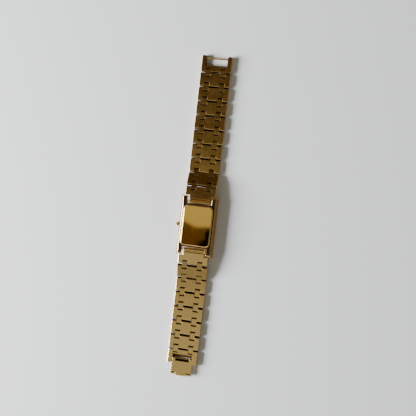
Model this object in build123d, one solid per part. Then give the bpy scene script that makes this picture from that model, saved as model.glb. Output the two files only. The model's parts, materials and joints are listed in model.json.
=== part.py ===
from build123d import *
import os
from math import cos, radians, sin

# A rectangular dress watch lying face down with its bracelet open and laid out straight.
# The origin is the centre of the crystal's outer face, which rests on the table.
# +Y runs to the 12 o'clock end, +Z goes up to the case back and the crown is on -X.
# All lengths are in millimetres and all angles in degrees.

# Bracelet: wide links joined by pairs of small connectors, each hinged at both ends
strap_side_inset = 0.7
strap_thickness = 2.3
link_pitch = 7.47
link_gap = 1.0
link_edge_bevel = 0.18
link_end_keel = 0.35
centre_width = 5.3
connector_width = 2.6
connector_side_play = 0.05
connector_face_step = 0.05
connector_pin_spacing = 2.3
connector_overhang = 0.85
connector_wrist_bevel = 0.4
connector_outer_bevel = 0.05
notch_reach = 1.0
pin_diameter = 0.7
pin_play = 0.03
towards_12_link_count = 8
towards_6_link_count = 6

# Droop of each strap from the lugs down to the table, as shares of the steepest link's tilt
end_link_tilt_share = 0.18
end_connector_tilt_share = 0.59
steepest_link_tilt_share = 1.0
foot_connector_tilt_share = 0.5
steepest_possible_angle = 80
slope_halving_count = 50

# End links, each turning on a spring bar between the lugs
end_link_reach = 6.85
end_link_shoulder_gap = 0.3
end_link_tongue_start = 1.6
end_link_web_low = 0.35
knuckle_diameter = 1.7
knuckle_side_gap = 1.1
spring_bar_diameter = 1.0
spring_bar_play = 0.04
spring_bar_tip_diameter = 0.7
spring_bar_tip_length = 0.9
spring_bar_end_gap = 0.05

# Catch frame at the 12 o'clock end, with a thin bar for the hook
catch_cross_length = 3.1
catch_arm_width = 2.2
catch_arm_reach = 7.65
catch_tip_radius = 0.9
catch_bar_diameter = 0.75
catch_bar_to_tip = 1.43
catch_bar_seat = 0.8
catch_bar_play = 0.01

# Hook frame at the 6 o'clock end, and the plate hinged in it
hook_arm_width = 2.55
hook_web = 0.51
hook_slope_run = 1.7
hook_lip_thickness = 0.35
hook_pin_diameter = 0.7
hook_pin_from_web = 2.37
hook_pin_above_middle = 0.15
hook_pin_seat = 0.8
hook_pin_play = 0.02
hook_arm_past_pin = 2.57
hook_plate_thickness = 0.55
hook_plate_side_play = 0.12
hook_plate_catch_gap = 0.25
hook_plate_start = 1.37
hook_plate_wide_start = 2.75
hook_plate_length = 8.3
hook_plate_face_step = 0.05
hook_ear_width = 1.5
hook_ear_diameter = 1.5
hook_tab_width = 5.1
hook_tab_reach = 9.3
hook_tab_thickness = 0.5
hook_return_length = 1.3

# Case, seen in section across the wrist: a flat back, sloped sides, a band and a bezel
case_thickness = 5.7
case_width = 19.3
case_side_slope = 1.1
bezel_side_slope = 1.25
case_band_low = 2.0
case_band_high = 3.0
case_end_half = 11.3
bezel_end_bevel = 0.9
lug_width = 3.15
spring_bar_past_case = 1.1
lug_tip_past_bar = 2.9
lug_tip_radius = 1.0
lug_root_height = 1.3
lug_tip_height = 2.6
spring_bar_below_back_plane = 0.9
lug_hole_depth = 1.0
lug_hole_play = 0.03

# Case back: a snap rim, a flange and a raised polished plate with a bevelled edge
back_flange_thickness = 0.25
back_plateau_height = 0.4
back_flange_side_inset = 0.7
back_flange_end_inset = 0.7
back_flange_corner = 2.2
back_plateau_margin = 0.2
back_plateau_bevel = 0.3
back_plateau_rise = 0.3
snap_rim_height = 0.5
snap_rim_wall = 0.55
seat_gap = 0.05

# Cavity of the case, its crystal seat and the flange that frames the dial
cavity_side_ledge = 0.75
cavity_end_ledge = 1.1
cavity_corner = 1.5
crystal_thickness = 1.25
crystal_proud = 0.35
crystal_edge_bevel = 0.2
crystal_gasket_wall = 0.25
crystal_seat_side_inset = 0.08
crystal_seat_end_inset = 0.18
crystal_seat_corner = 1.4
dial_flange_side_width = 0.9
dial_flange_end_width = 1.0
dial_window_corner = 0.9
dial_flange_thickness = 1.0
back_gasket_thickness = 0.25
back_gasket_wall = 0.6

# Dial and hands, which turn in the space under the crystal
dial_thickness = 0.3
marker_height = 0.12
marker_width = 0.45
marker_length = 1.5
marker_edge_margin = 0.5
hand_thickness = 0.1
hour_hand_above_dial = 0.25
minute_hand_above_dial = 0.55
hour_hand_share = 0.315
minute_hand_share = 0.47
hand_hub_wall = 0.32
hand_root_width = 0.75
hand_tip_width = 0.3
hand_tail_length = 1.2
hour_hand_angle = 305
minute_hand_angle = 60
hand_end_past_hub = 0.05
hand_press_play = 0.01
hour_count = 12

# Motion works on the dial side of the main plate
motion_centre_distance = 2.0
motion_mesh_gap = 0.02
cannon_pinion_share = 0.25
hour_wheel_share = 0.8
motion_direction_angle = 135
wheel_thickness = 0.12
wheel_gap = 0.04
cannon_tube_radius = 0.35
cannon_bore_radius = 0.22
centre_post_radius = 0.19
hour_pipe_wall = 0.17
running_play = 0.03
minute_post_radius = 0.15
motion_recess_depth = 0.5
motion_recess_margin = 0.15

# Movement: main plate, spacer ring, train bridge, cell, motor and circuit board
movement_back_gap = 0.55
plate_thickness_share = 0.47
bridge_thickness_share = 0.16
plate_corner = 1.0
ring_side_wall = 0.85
ring_end_wall = 1.15
ring_back_gap = 0.1
ring_play = 0.05
cell_diameter_share = 0.3515
cell_play = 0.1
cell_side_wall = 0.25
cell_floor = 0.2
cell_back_gap = 0.65
cell_step_radius = 0.5
cell_step_height = 0.2
bridge_width_share = 0.54
bridge_offset_share = 0.13
bridge_end_gap = 0.475
bridge_corner = 0.8
bridge_pillar_radius = 0.35
bridge_pillar_inset_share = 0.15
stator_width_share = 0.75
stator_length_share = 0.224
stator_thickness = 0.4
stator_end_share = 0.067
stator_leg_width = 1.1
stator_back_share = 0.514
rotor_offset_share = 0.26
rotor_hole_share = 0.37
rotor_radius_share = 0.29
rotor_height = 0.5
rotor_axle_radius = 0.2
rotor_axle_length = 0.75
coil_core_thickness = 0.3
coil_core_width = 0.9
coil_core_from_top = 0.6
coil_end_gap = 0.3
board_length_share = 0.39
board_thickness = 0.25
board_margin = 0.25
board_cell_gap = 0.5
board_corner = 0.4
chip_width = 1.8
chip_height = 0.3
piece_lift = 0.02

# Crown, stem and sliding pinion on the -X side
stem_height = 3.3
stem_radius = 0.38
stem_hole_play = 0.06
stem_inner_from_plate_edge = 2.75
stem_square = 0.5
stem_square_length = 1.9
sliding_pinion_radius = 0.6
sliding_pinion_length = 0.8
sliding_pinion_from_plate_edge = 1.65
sliding_pinion_play = 0.03
keyless_slot_width = 1.4
keyless_slot_past_stem = 0.2
crown_diameter = 2.3
crown_length = 1.4
crown_gap = 0.1
crown_flute_count = 16
crown_flute_depth = 0.12
crown_face_bevel = 0.25
crown_face_share = 0.78
crown_bore_depth = 0.9
crown_bore_play = 0.01

# Flats that stand for the round of small pins, bores and wheels that lie hidden
hidden_flat_count = 10
wheel_flat_count = 18

# One length that takes every cut past the faces it goes through
overrun = 2.0

# The two ways along a strap piece: on towards the clasp and back towards the case
outward = 1
inward = -1

# Heights above the table, from the crystal up to the case back
crystal_seat_z = crystal_thickness + seat_gap
dial_z = crystal_seat_z + dial_flange_thickness
dial_back_z = dial_z + dial_thickness
back_plane_z = case_thickness - back_plateau_height - back_flange_thickness
back_flange_z = back_plane_z + back_flange_thickness
back_gasket_z = back_plane_z - snap_rim_height - back_gasket_thickness
pivot_z = back_plane_z - spring_bar_below_back_plane
strap_middle_z = strap_thickness / 2

# Case sizes across and along the wrist, each inside the one before
case_back_plane_width = case_width - 2 * case_side_slope
strap_width = case_back_plane_width - 2 * strap_side_inset
case_bezel_width = case_width - 2 * bezel_side_slope
lug_inner_width = case_width - 2 * lug_width
spring_bar_from_centre = case_end_half + spring_bar_past_case
lug_tip_half = spring_bar_from_centre + lug_tip_past_bar
back_flange_width = case_back_plane_width - 2 * back_flange_side_inset
back_flange_length = 2 * case_end_half - 2 * back_flange_end_inset
cavity_width = back_flange_width - 2 * cavity_side_ledge
cavity_length = back_flange_length - 2 * cavity_end_ledge
crystal_seat_width = cavity_width - 2 * crystal_seat_side_inset
crystal_seat_length = cavity_length - 2 * crystal_seat_end_inset
dial_window_width = cavity_width - 2 * dial_flange_side_width
dial_window_length = cavity_length - 2 * dial_flange_end_width

# The movement fills the space that the ring leaves between the dial and the case back
plate_width = cavity_width - 2 * (seat_gap + ring_side_wall + ring_play)
plate_length = cavity_length - 2 * (seat_gap + ring_end_wall + ring_play)
sliding_pinion_from_centre = plate_width / 2 - sliding_pinion_from_plate_edge
stem_inner_end = plate_width / 2 - stem_inner_from_plate_edge
keyless_slot_end = stem_inner_end - keyless_slot_past_stem
ring_top_z = back_gasket_z - ring_back_gap
movement_height = back_plane_z - movement_back_gap - dial_back_z
plate_thickness = movement_height * plate_thickness_share
plate_top_z = dial_back_z + plate_thickness
bridge_thickness = movement_height * bridge_thickness_share
bridge_top_z = dial_back_z + movement_height
cell_thickness = back_plane_z - cell_back_gap - dial_back_z - cell_floor
cell_diameter = plate_length * cell_diameter_share
cell_from_edge = cell_diameter / 2 + cell_play + cell_side_wall
cell_x = plate_width / 2 - cell_from_edge
cell_y = cell_from_edge - plate_length / 2
stator_width = plate_width * stator_width_share
stator_length = plate_length * stator_length_share
stator_y = plate_length * (1 - 2 * stator_end_share - stator_length_share) / 2
stator_back_length = stator_length * stator_back_share
rotor_hole_radius = stator_back_length * rotor_hole_share
rotor_radius = stator_back_length * rotor_radius_share
rotor_x = stator_width * rotor_offset_share
coil_diameter = bridge_top_z - plate_top_z
coil_length = stator_width - 2 * (stator_leg_width + coil_end_gap)
bridge_width = plate_width * bridge_width_share
bridge_x = plate_width * bridge_offset_share
bridge_low_y = cell_y + cell_diameter / 2 + bridge_end_gap
bridge_high_y = stator_y - stator_length / 2 - bridge_end_gap
bridge_length = bridge_high_y - bridge_low_y
board_left = board_margin - plate_width / 2
board_right = cell_x - cell_diameter / 2 - board_cell_gap
board_low_y = board_margin - plate_length / 2
board_length = plate_length * board_length_share

# Strap sizes that follow from the ones above
link_reach = link_pitch - connector_pin_spacing
pin_to_edge = (connector_pin_spacing - link_gap) / 2
notch_width = connector_width + 2 * connector_side_play
notch_centre_x = (centre_width + notch_width) / 2
catch_cross_end = catch_cross_length - pin_to_edge
hook_web_start = notch_reach + hook_web
hook_pin_y = hook_web_start + hook_pin_from_web
hook_arm_end = hook_pin_y + hook_arm_past_pin
hook_window_width = strap_width - 2 * hook_arm_width
hook_plate_width = strap_width - 2 * (catch_arm_width + hook_plate_catch_gap)
end_link_shoulder = lug_tip_past_bar + end_link_shoulder_gap
knuckle_radius = knuckle_diameter / 2
knuckle_length = lug_inner_width - 2 * knuckle_side_gap
spring_bar_length = lug_inner_width - 2 * spring_bar_end_gap


def box_between(low_x, high_x, low_y, high_y, low_z, high_z):
    """A block given by its two opposite corners."""
    middle = Pos((low_x + high_x) / 2, (low_y + high_y) / 2, (low_z + high_z) / 2)
    return middle * Box(high_x - low_x, high_y - low_y, high_z - low_z)


def rounded_block(width, length, corner, low_z, high_z):
    """An upright plate with rounded corners, centred on the Z axis."""
    outline = RectangleRounded(width, length, corner)
    return extrude(Pos(0, 0, low_z) * outline, high_z - low_z)


def cut_corner_block(width, length, corner, low_z, high_z):
    """An upright plate with its corners cut straight, centred on the Z axis."""
    x, y = width / 2, length / 2
    outline = Polygon(
        (x - corner, -y), (x, corner - y), (x, y - corner), (x - corner, y),
        (corner - x, y), (-x, y - corner), (-x, corner - y), (corner - x, -y),
        align=None,
    )
    return extrude(Pos(0, 0, low_z) * outline, high_z - low_z)


def ring_between(width, length, corner, wall, low_z, high_z):
    """A rectangular ring of even wall with cut corners."""
    outside = cut_corner_block(width, length, corner, low_z, high_z)
    return outside - cut_corner_block(
        width - 2 * wall, length - 2 * wall, corner, low_z - overrun, high_z + overrun
    )


def disc(radius, low_z, high_z, flats=hidden_flat_count):
    """An upright hidden disc or post on the Z axis, its corners on the radius."""
    return extrude(Pos(0, 0, low_z) * RegularPolygon(radius, flats), high_z - low_z)


def round_disc(radius, low_z, high_z):
    """An upright round disc on the Z axis."""
    return extrude(Pos(0, 0, low_z) * Circle(radius), high_z - low_z)


def bore(radius, low_z, high_z):
    """An upright hidden bore on the Z axis."""
    return extrude(Pos(0, 0, low_z) * hidden_hole(radius), high_z - low_z)


def hidden_hole(radius):
    """The outline of a hidden hole, its flats clear of the radius."""
    return RegularPolygon(radius, hidden_flat_count, major_radius=False)


def rod_along_x(radius, length):
    """A round rod along X, centred on the origin."""
    return Rot(0, 90, 0) * Cylinder(radius, length)


def hidden_rod_along_x(radius, length):
    """A hidden rod along X, its corners on the radius."""
    return bar_across(RegularPolygon(radius, hidden_flat_count), length)


def hidden_bore_along_x(radius, length):
    """A hidden bore along X, its flats clear of the radius."""
    return bar_across(hidden_hole(radius), length)


def bar_across(outline, width):
    """An outline in Y and Z, given thickness along X and centred on it."""
    return extrude(Plane.YZ * outline, width / 2, both=True)


# Hinge pins and connectors

def connector_outline():
    """A connector from the side, bevelled most where the bracelet folds round the wrist."""
    start = -connector_overhang
    end = connector_pin_spacing + connector_overhang
    high = strap_thickness / 2 - connector_face_step
    block = Polygon(
        (start, connector_outer_bevel - high),
        (start + connector_outer_bevel, -high),
        (end - connector_outer_bevel, -high),
        (end, connector_outer_bevel - high),
        (end, high - connector_wrist_bevel),
        (end - connector_wrist_bevel, high),
        (start + connector_wrist_bevel, high),
        (start, high - connector_wrist_bevel),
        align=None,
    )
    hole = hidden_hole(pin_diameter / 2 + pin_play)
    return block - hole - Pos(connector_pin_spacing, 0) * hole


def connector_pair():
    """The two connectors of one joint, side by side on the same two hinge axes."""
    one = bar_across(connector_outline(), connector_width)
    return [Pos(side * notch_centre_x, 0, 0) * one for side in (-1, 1)]


def notches_at(pin_y, towards):
    """The two slots that take connectors, open on the side where the strap goes on."""
    deep = pin_y - towards * notch_reach
    mouth = pin_y + towards * (pin_to_edge + overrun)
    one = box_between(
        -notch_width / 2, notch_width / 2,
        min(deep, mouth), max(deep, mouth),
        -strap_thickness, strap_thickness,
    )
    return [Pos(side * notch_centre_x, 0, 0) * one for side in (-1, 1)]


def pins_at(pin_y):
    """The two short pin lengths that cross a pair of slots and carry the connectors."""
    one = hidden_rod_along_x(pin_diameter / 2, notch_width)
    return [Pos(side * notch_centre_x, pin_y, 0) * one for side in (-1, 1)]


# Wide links

def strap_slab(start_y, end_y, start_keel, end_keel):
    """A length of the bracelet's full section, with a keel halfway up an end where given."""
    low, high = -strap_width / 2, strap_width / 2
    base, top = -strap_thickness / 2, strap_thickness / 2
    bevel = link_edge_bevel
    section = Polygon(
        (low + bevel, base), (high - bevel, base),
        (high, base + bevel), (high, top - bevel),
        (high - bevel, top), (low + bevel, top),
        (low, top - bevel), (low, base + bevel),
        align=None,
    )
    whole = start_y - start_keel - end_y - end_keel
    bar = Pos(0, start_y - start_keel, 0) * extrude(Plane.XZ * section, whole)
    outline = [(start_y, base), (end_y, base)]
    if end_keel > 0:
        outline.append((end_y + end_keel, 0))
    outline += [(end_y, top), (start_y, top)]
    if start_keel > 0:
        outline.append((start_y - start_keel, 0))
    return bar & bar_across(Polygon(*outline, align=None), strap_width)


def wide_link():
    """A link with a pair of slots at each end; its origin is on its inner hinge axis."""
    slab = strap_slab(-pin_to_edge, link_reach + pin_to_edge, link_end_keel, link_end_keel)
    slotted = slab - notches_at(0, inward) - notches_at(link_reach, outward)
    return slotted + pins_at(0) + pins_at(link_reach)


def end_link():
    """The link between the lugs; its origin is on the spring bar's axis."""
    end = end_link_reach + pin_to_edge
    top = strap_thickness / 2
    plate = strap_slab(end_link_shoulder, end, 0, link_end_keel)
    tongue_length = end_link_shoulder - end_link_tongue_start
    tongue = box_between(
        -knuckle_length / 2, knuckle_length / 2,
        end_link_tongue_start, end_link_tongue_start + tongue_length,
        -top, top,
    )
    web = box_between(
        -knuckle_length / 2, knuckle_length / 2,
        0, end_link_tongue_start,
        -knuckle_radius, -end_link_web_low,
    )
    knuckle = rod_along_x(knuckle_radius, knuckle_length)
    body = plate + tongue + web + knuckle
    hole = hidden_bore_along_x(
        spring_bar_diameter / 2 + spring_bar_play, knuckle_length + overrun
    )
    return body - hole - notches_at(end_link_reach, outward) + pins_at(end_link_reach)


def spring_bar():
    """A spring bar with a thinner tip at each end, sprung into the lugs."""
    bar = rod_along_x(spring_bar_diameter / 2, spring_bar_length)
    whole = spring_bar_length + 2 * spring_bar_tip_length
    return bar + hidden_rod_along_x(spring_bar_tip_diameter / 2, whole)


# Clasp

def catch_frame():
    """The open frame that the hook goes through; its origin is on its hinge axis."""
    slab = strap_slab(-pin_to_edge, catch_arm_reach, link_end_keel, 0)
    window = box_between(
        catch_arm_width - strap_width / 2, strap_width / 2 - catch_arm_width,
        catch_cross_end, catch_arm_reach + overrun,
        -strap_thickness, strap_thickness,
    )
    frame = slab - window - notches_at(0, inward)
    tips = frame.edges().filter_by(Axis.Z).group_by(Axis.Y)[-1]
    frame = fillet(tips, catch_tip_radius)
    seat = Pos(0, catch_arm_reach - catch_bar_to_tip, 0) * hidden_bore_along_x(
        catch_bar_diameter / 2 + catch_bar_play,
        catch_bar_length() + 2 * catch_bar_play,
    )
    return frame - seat + pins_at(0)


def catch_bar_length():
    """The bar spans the window and a seat in each arm."""
    return strap_width - 2 * catch_arm_width + 2 * catch_bar_seat


def catch_bar():
    """The thin bar across the catch frame, close behind the arms' tips."""
    bar = rod_along_x(catch_bar_diameter / 2, catch_bar_length())
    return Pos(0, catch_arm_reach - catch_bar_to_tip, 0) * bar


def hook_window():
    """The opening in the hook frame, whose inner end slopes down to a thin lip."""
    top = strap_thickness / 2
    lip = hook_lip_thickness - top
    outline = Polygon(
        (hook_web_start, top),
        (hook_web_start + hook_slope_run, lip),
        (hook_web_start + hook_slope_run, -strap_thickness),
        (hook_arm_end + overrun, -strap_thickness),
        (hook_arm_end + overrun, strap_thickness),
        (hook_web_start, strap_thickness),
        align=None,
    )
    return bar_across(outline, hook_window_width)


def hook_pin_length():
    """The pin spans the window and a seat in each arm."""
    return hook_window_width + 2 * hook_pin_seat


def hook_frame():
    """The fork that carries the hook plate; its origin is on its hinge axis."""
    slab = strap_slab(-pin_to_edge, hook_arm_end, link_end_keel, 0)
    seat = Pos(0, hook_pin_y, hook_pin_above_middle) * hidden_bore_along_x(
        hook_pin_diameter / 2 + hook_pin_play,
        hook_pin_length() + 2 * hook_pin_play,
    )
    return slab - hook_window() - notches_at(0, inward) - seat + pins_at(0)


def hook_pin():
    """The pin across the hook frame's window."""
    return rod_along_x(hook_pin_diameter / 2, hook_pin_length())


def hook_curl():
    """The hook from the side: a half turn under the plate with a short return."""
    top = strap_thickness / 2 - hook_pin_above_middle - hook_plate_face_step
    bottom = -strap_thickness / 2 - hook_pin_above_middle
    outer = (top - bottom) / 2
    inner = outer - hook_tab_thickness
    bend_y = hook_tab_reach - outer
    bend_z = (top + bottom) / 2
    ring = Pos(bend_y, bend_z) * (Circle(outer) - Circle(inner))
    half = ring - Pos(bend_y - outer, bend_z) * Rectangle(2 * outer, 2 * outer + overrun)
    leg = Pos(bend_y - hook_return_length / 2, bottom + hook_tab_thickness / 2)
    back = leg * Rectangle(hook_return_length, hook_tab_thickness)
    run = bend_y - hook_plate_start
    over = Pos(bend_y - run / 2, top - hook_tab_thickness / 2)
    return half + back + over * Rectangle(run, hook_tab_thickness)


def hook_plate():
    """The hinged plate with two ears and a hooked tab; its origin is on its pin's axis."""
    top = strap_thickness / 2 - hook_pin_above_middle - hook_plate_face_step
    base = top - hook_plate_thickness
    neck = hook_window_width / 2 - hook_plate_side_play
    half = hook_plate_width / 2
    narrow = box_between(-neck, neck, hook_plate_start, hook_plate_wide_start, base, top)
    wide = box_between(-half, half, hook_plate_wide_start, hook_plate_length, base, top)
    hook = bar_across(hook_curl(), hook_tab_width)
    plate = narrow + wide + hook
    for side in (-1, 1):
        inside = neck - hook_ear_width / 2
        arm = box_between(-hook_ear_width / 2, hook_ear_width / 2, 0, hook_plate_start, base, top)
        ear = rod_along_x(hook_ear_diameter / 2, hook_ear_width) + arm
        plate = plate + Pos(side * inside, 0, 0) * ear
    return plate - hidden_bore_along_x(hook_pin_diameter / 2 + hook_pin_play, strap_width)


# Case

def case_section():
    """The case across the wrist: back plane, sloped sides, upright band and bezel."""
    right = [
        (case_bezel_width / 2, crystal_proud),
        (case_width / 2, case_band_low),
        (case_width / 2, case_band_high),
        (case_back_plane_width / 2, back_plane_z),
    ]
    left = [(-x, z) for x, z in reversed(right)]
    return Polygon(*right, *left, align=None)


def case_side():
    """The case along the wrist: a flat back running out into the round-tipped lugs."""
    right = [
        (case_end_half - bezel_end_bevel, crystal_proud),
        (case_end_half, lug_root_height),
        (lug_tip_half, lug_tip_height),
        (lug_tip_half, back_plane_z),
    ]
    left = [(-y, z) for y, z in reversed(right)]
    outline = Polygon(*right, *left, align=None)
    tips = outline.vertices().group_by(Axis.Y)[-1]
    return fillet(tips, lug_tip_radius)


def lug_hole(side_x, side_y):
    """A blind hole for one tip of a spring bar."""
    depth = lug_hole_depth + spring_bar_end_gap
    start = side_x * (lug_inner_width / 2 - spring_bar_end_gap + depth / 2)
    hole = hidden_bore_along_x(spring_bar_tip_diameter / 2 + lug_hole_play, depth)
    return Pos(start, side_y * spring_bar_from_centre, pivot_z) * hole


def stem_hole():
    """The hole through the case wall for the stem."""
    length = case_width / 2 - cavity_width / 2 + overrun
    middle = -cavity_width / 2 + seat_gap - length / 2
    hole = hidden_bore_along_x(stem_radius + stem_hole_play, length)
    return Pos(middle, 0, stem_height) * hole


def case_body():
    """The middle case with its lugs, bezel, crystal seat and movement cavity."""
    body = extrude(Plane.XZ * case_section(), lug_tip_half, both=True)
    body = body & bar_across(case_side(), case_width)
    for side in (-1, 1):
        between = box_between(
            -lug_inner_width / 2, lug_inner_width / 2,
            min(side * case_end_half, side * (lug_tip_half + overrun)),
            max(side * case_end_half, side * (lug_tip_half + overrun)),
            0, case_thickness,
        )
        body = body - between - lug_hole(-1, side) - lug_hole(1, side)
    body = body - cut_corner_block(
        cavity_width, cavity_length, cavity_corner, dial_z, back_plane_z + overrun
    )
    body = body - cut_corner_block(
        crystal_seat_width, crystal_seat_length, crystal_seat_corner, -overrun, crystal_seat_z
    )
    window = cut_corner_block(
        dial_window_width, dial_window_length, dial_window_corner, 0, dial_z + seat_gap
    )
    return body - window - stem_hole()


def crystal():
    """The flat glass, bevelled round its outer face, on which the watch rests."""
    shrink = 2 * crystal_gasket_wall + 2 * running_play
    glass = cut_corner_block(
        crystal_seat_width - shrink, crystal_seat_length - shrink,
        crystal_seat_corner, 0, crystal_thickness,
    )
    rim = glass.faces().sort_by(Axis.Z)[0].edges()
    return chamfer(rim, crystal_edge_bevel)


def crystal_gasket():
    """The seal pressed in between the crystal's edge and its seat."""
    return ring_between(
        crystal_seat_width - running_play, crystal_seat_length - running_play,
        crystal_seat_corner, crystal_gasket_wall, crystal_proud, crystal_seat_z,
    )


def case_back():
    """The snap-on back: rim in the cavity, flange on the case and raised polished plate."""
    rim = ring_between(
        cavity_width - 2 * seat_gap, cavity_length - 2 * seat_gap,
        cavity_corner - seat_gap, snap_rim_wall, back_plane_z - snap_rim_height, back_plane_z,
    )
    flange = rounded_block(
        back_flange_width, back_flange_length, back_flange_corner, back_plane_z, back_flange_z
    )
    plateau = rounded_block(
        back_flange_width - 2 * back_plateau_margin,
        back_flange_length - 2 * back_plateau_margin,
        back_flange_corner - back_plateau_margin, back_flange_z, case_thickness,
    )
    edge = plateau.faces().sort_by(Axis.Z)[-1].edges()
    plateau = chamfer(edge, back_plateau_rise, back_plateau_bevel)
    return rim + flange + plateau


def case_back_gasket():
    """The seal under the snap rim."""
    return ring_between(
        cavity_width - 2 * seat_gap, cavity_length - 2 * seat_gap, cavity_corner - seat_gap,
        back_gasket_wall, back_gasket_z, back_gasket_z + back_gasket_thickness,
    )


# Dial and hands

def dial():
    """The dial plate with twelve plain applied markers on its outer face."""
    plate = cut_corner_block(
        cavity_width - 2 * seat_gap, cavity_length - 2 * seat_gap,
        cavity_corner, dial_z, dial_back_z,
    )
    for hour in range(hour_count):
        plate = plate + hour_marker(hour)
    return plate - bore(hour_pipe_radius() + running_play, 0, case_thickness)


def hour_marker(hour):
    """A baton that points at the centre, on the border of the dial's window."""
    angle = 360 / hour_count * hour
    reach_x = dial_window_width / 2 - marker_edge_margin - marker_length / 2
    reach_y = dial_window_length / 2 - marker_edge_margin - marker_length / 2
    across, along = abs(sin(radians(angle))), abs(cos(radians(angle)))
    by_side = reach_x / across if across * reach_y > along * reach_x else reach_y / along
    baton = Box(marker_width, marker_length, marker_height)
    return Rot(0, 0, angle) * Pos(0, by_side, dial_z - marker_height / 2) * baton


def hand(length, bore_radius, low_z, angle):
    """A tapered hand with a round hub, lying at its angle from 12 o'clock."""
    hub = bore_radius + hand_hub_wall
    blade = Polygon(
        (-hand_root_width / 2, -hand_tail_length),
        (hand_root_width / 2, -hand_tail_length),
        (hand_root_width / 2, 0),
        (hand_tip_width / 2, length),
        (-hand_tip_width / 2, length),
        (-hand_root_width / 2, 0),
        align=None,
    )
    outline = blade + RegularPolygon(hub, wheel_flat_count) - hidden_hole(bore_radius)
    return Rot(0, 0, angle) * Pos(0, 0, low_z) * extrude(outline, hand_thickness)


def hour_pipe_radius():
    """The hour wheel's pipe runs on the cannon pinion's tube."""
    return cannon_tube_radius + running_play + hour_pipe_wall


def hour_hand_z():
    """The hour hand's face nearer the crystal."""
    return dial_z - hour_hand_above_dial - hand_thickness


def minute_hand_z():
    """The minute hand's face nearer the crystal."""
    return dial_z - minute_hand_above_dial - hand_thickness


def hour_hand():
    """The hour hand, pressed on the hour wheel's pipe."""
    bore = hour_pipe_radius() + hand_press_play
    return hand(dial_window_width * hour_hand_share, bore, hour_hand_z(), hour_hand_angle)


def minute_hand():
    """The minute hand, pressed on the cannon pinion's tube."""
    bore = cannon_tube_radius + hand_press_play
    return hand(dial_window_width * minute_hand_share, bore, minute_hand_z(), minute_hand_angle)


# Motion works: plain discs stand for the fine teeth

hour_wheel_z = dial_back_z + wheel_gap
cannon_wheel_z = hour_wheel_z + wheel_thickness + wheel_gap
motion_floor_z = dial_back_z + motion_recess_depth
cannon_radius = motion_centre_distance * cannon_pinion_share
minute_wheel_radius = motion_centre_distance - cannon_radius - motion_mesh_gap
hour_wheel_radius = motion_centre_distance * hour_wheel_share
minute_pinion_radius = motion_centre_distance - hour_wheel_radius - motion_mesh_gap
minute_wheel_x = motion_centre_distance * cos(radians(motion_direction_angle))
minute_wheel_y = motion_centre_distance * sin(radians(motion_direction_angle))


def cannon_pinion():
    """The pinion and tube that carry the minute hand."""
    tube = round_disc(cannon_tube_radius, minute_hand_z() - hand_end_past_hub, cannon_wheel_z)
    pinion = disc(cannon_radius, cannon_wheel_z, motion_floor_z - wheel_gap)
    return tube + pinion - bore(cannon_bore_radius, 0, case_thickness)


def hour_wheel():
    """The wheel and pipe that carry the hour hand."""
    pipe = disc(hour_pipe_radius(), hour_hand_z() - hand_end_past_hub, hour_wheel_z)
    wheel = round_disc(hour_wheel_radius, hour_wheel_z, hour_wheel_z + wheel_thickness)
    return pipe + wheel - bore(cannon_tube_radius + running_play, 0, case_thickness)


def minute_wheel():
    """The wheel and pinion that step the minute hand's turns down to the hour hand's."""
    pinion = disc(minute_pinion_radius, hour_wheel_z, cannon_wheel_z + wheel_gap)
    low = cannon_wheel_z + wheel_gap
    wheel = round_disc(minute_wheel_radius, low, low + wheel_thickness)
    hole = bore(minute_post_radius + running_play, 0, case_thickness)
    return Pos(minute_wheel_x, minute_wheel_y, 0) * (pinion + wheel - hole)


# Movement

def main_plate():
    """The plate that carries the wheels, the motor, the cell and the stem."""
    plate = cut_corner_block(plate_width, plate_length, plate_corner, dial_back_z, plate_top_z)
    around_hours = disc(
        hour_wheel_radius + motion_recess_margin, 0, motion_floor_z, wheel_flat_count
    )
    around_minutes = disc(
        minute_wheel_radius + motion_recess_margin, 0, motion_floor_z, wheel_flat_count
    )
    place = Pos(minute_wheel_x, minute_wheel_y, 0)
    plate = plate - around_hours - place * around_minutes
    cell_pocket = disc(
        cell_diameter / 2 + cell_play, dial_back_z + cell_floor,
        plate_top_z + overrun, wheel_flat_count,
    )
    keyless = box_between(
        -plate_width, -keyless_slot_end,
        -keyless_slot_width / 2, keyless_slot_width / 2,
        0, case_thickness,
    )
    plate = plate - Pos(cell_x, cell_y, 0) * cell_pocket - keyless
    centre_post = disc(centre_post_radius, minute_hand_z(), plate_top_z)
    minute_post = place * disc(minute_post_radius, hour_wheel_z, plate_top_z)
    return plate + centre_post + minute_post


def movement_ring():
    """The spacer that holds the movement central in the case."""
    outside = cut_corner_block(
        cavity_width - 2 * seat_gap, cavity_length - 2 * seat_gap,
        cavity_corner, dial_back_z, ring_top_z,
    )
    inside = cut_corner_block(
        plate_width + 2 * ring_play, plate_length + 2 * ring_play,
        plate_corner, 0, case_thickness,
    )
    slot = box_between(
        -cavity_width, 0,
        -keyless_slot_width / 2, keyless_slot_width / 2,
        0, case_thickness,
    )
    return outside - inside - slot


def train_bridge():
    """The bridge over the wheels, standing on four pillars."""
    low = bridge_top_z - bridge_thickness
    top = cut_corner_block(bridge_width, bridge_length, bridge_corner, low, bridge_top_z)
    inset = bridge_length * bridge_pillar_inset_share
    pillar = disc(bridge_pillar_radius, plate_top_z, low)
    for side_x in (-1, 1):
        for side_y in (-1, 1):
            x = side_x * (bridge_width / 2 - inset)
            y = side_y * (bridge_length / 2 - inset)
            top = top + Pos(x, y, 0) * pillar
    return Pos(bridge_x, (bridge_low_y + bridge_high_y) / 2, 0) * top


def battery():
    """The button cell, its smaller pole down in the plate's pocket."""
    low = dial_back_z + cell_floor
    pole = disc(
        cell_diameter / 2 - cell_step_radius, low, low + cell_step_height, wheel_flat_count
    )
    can = disc(
        cell_diameter / 2, low + cell_step_height, low + cell_thickness, wheel_flat_count
    )
    return Pos(cell_x, cell_y, 0) * (pole + can)


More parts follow.
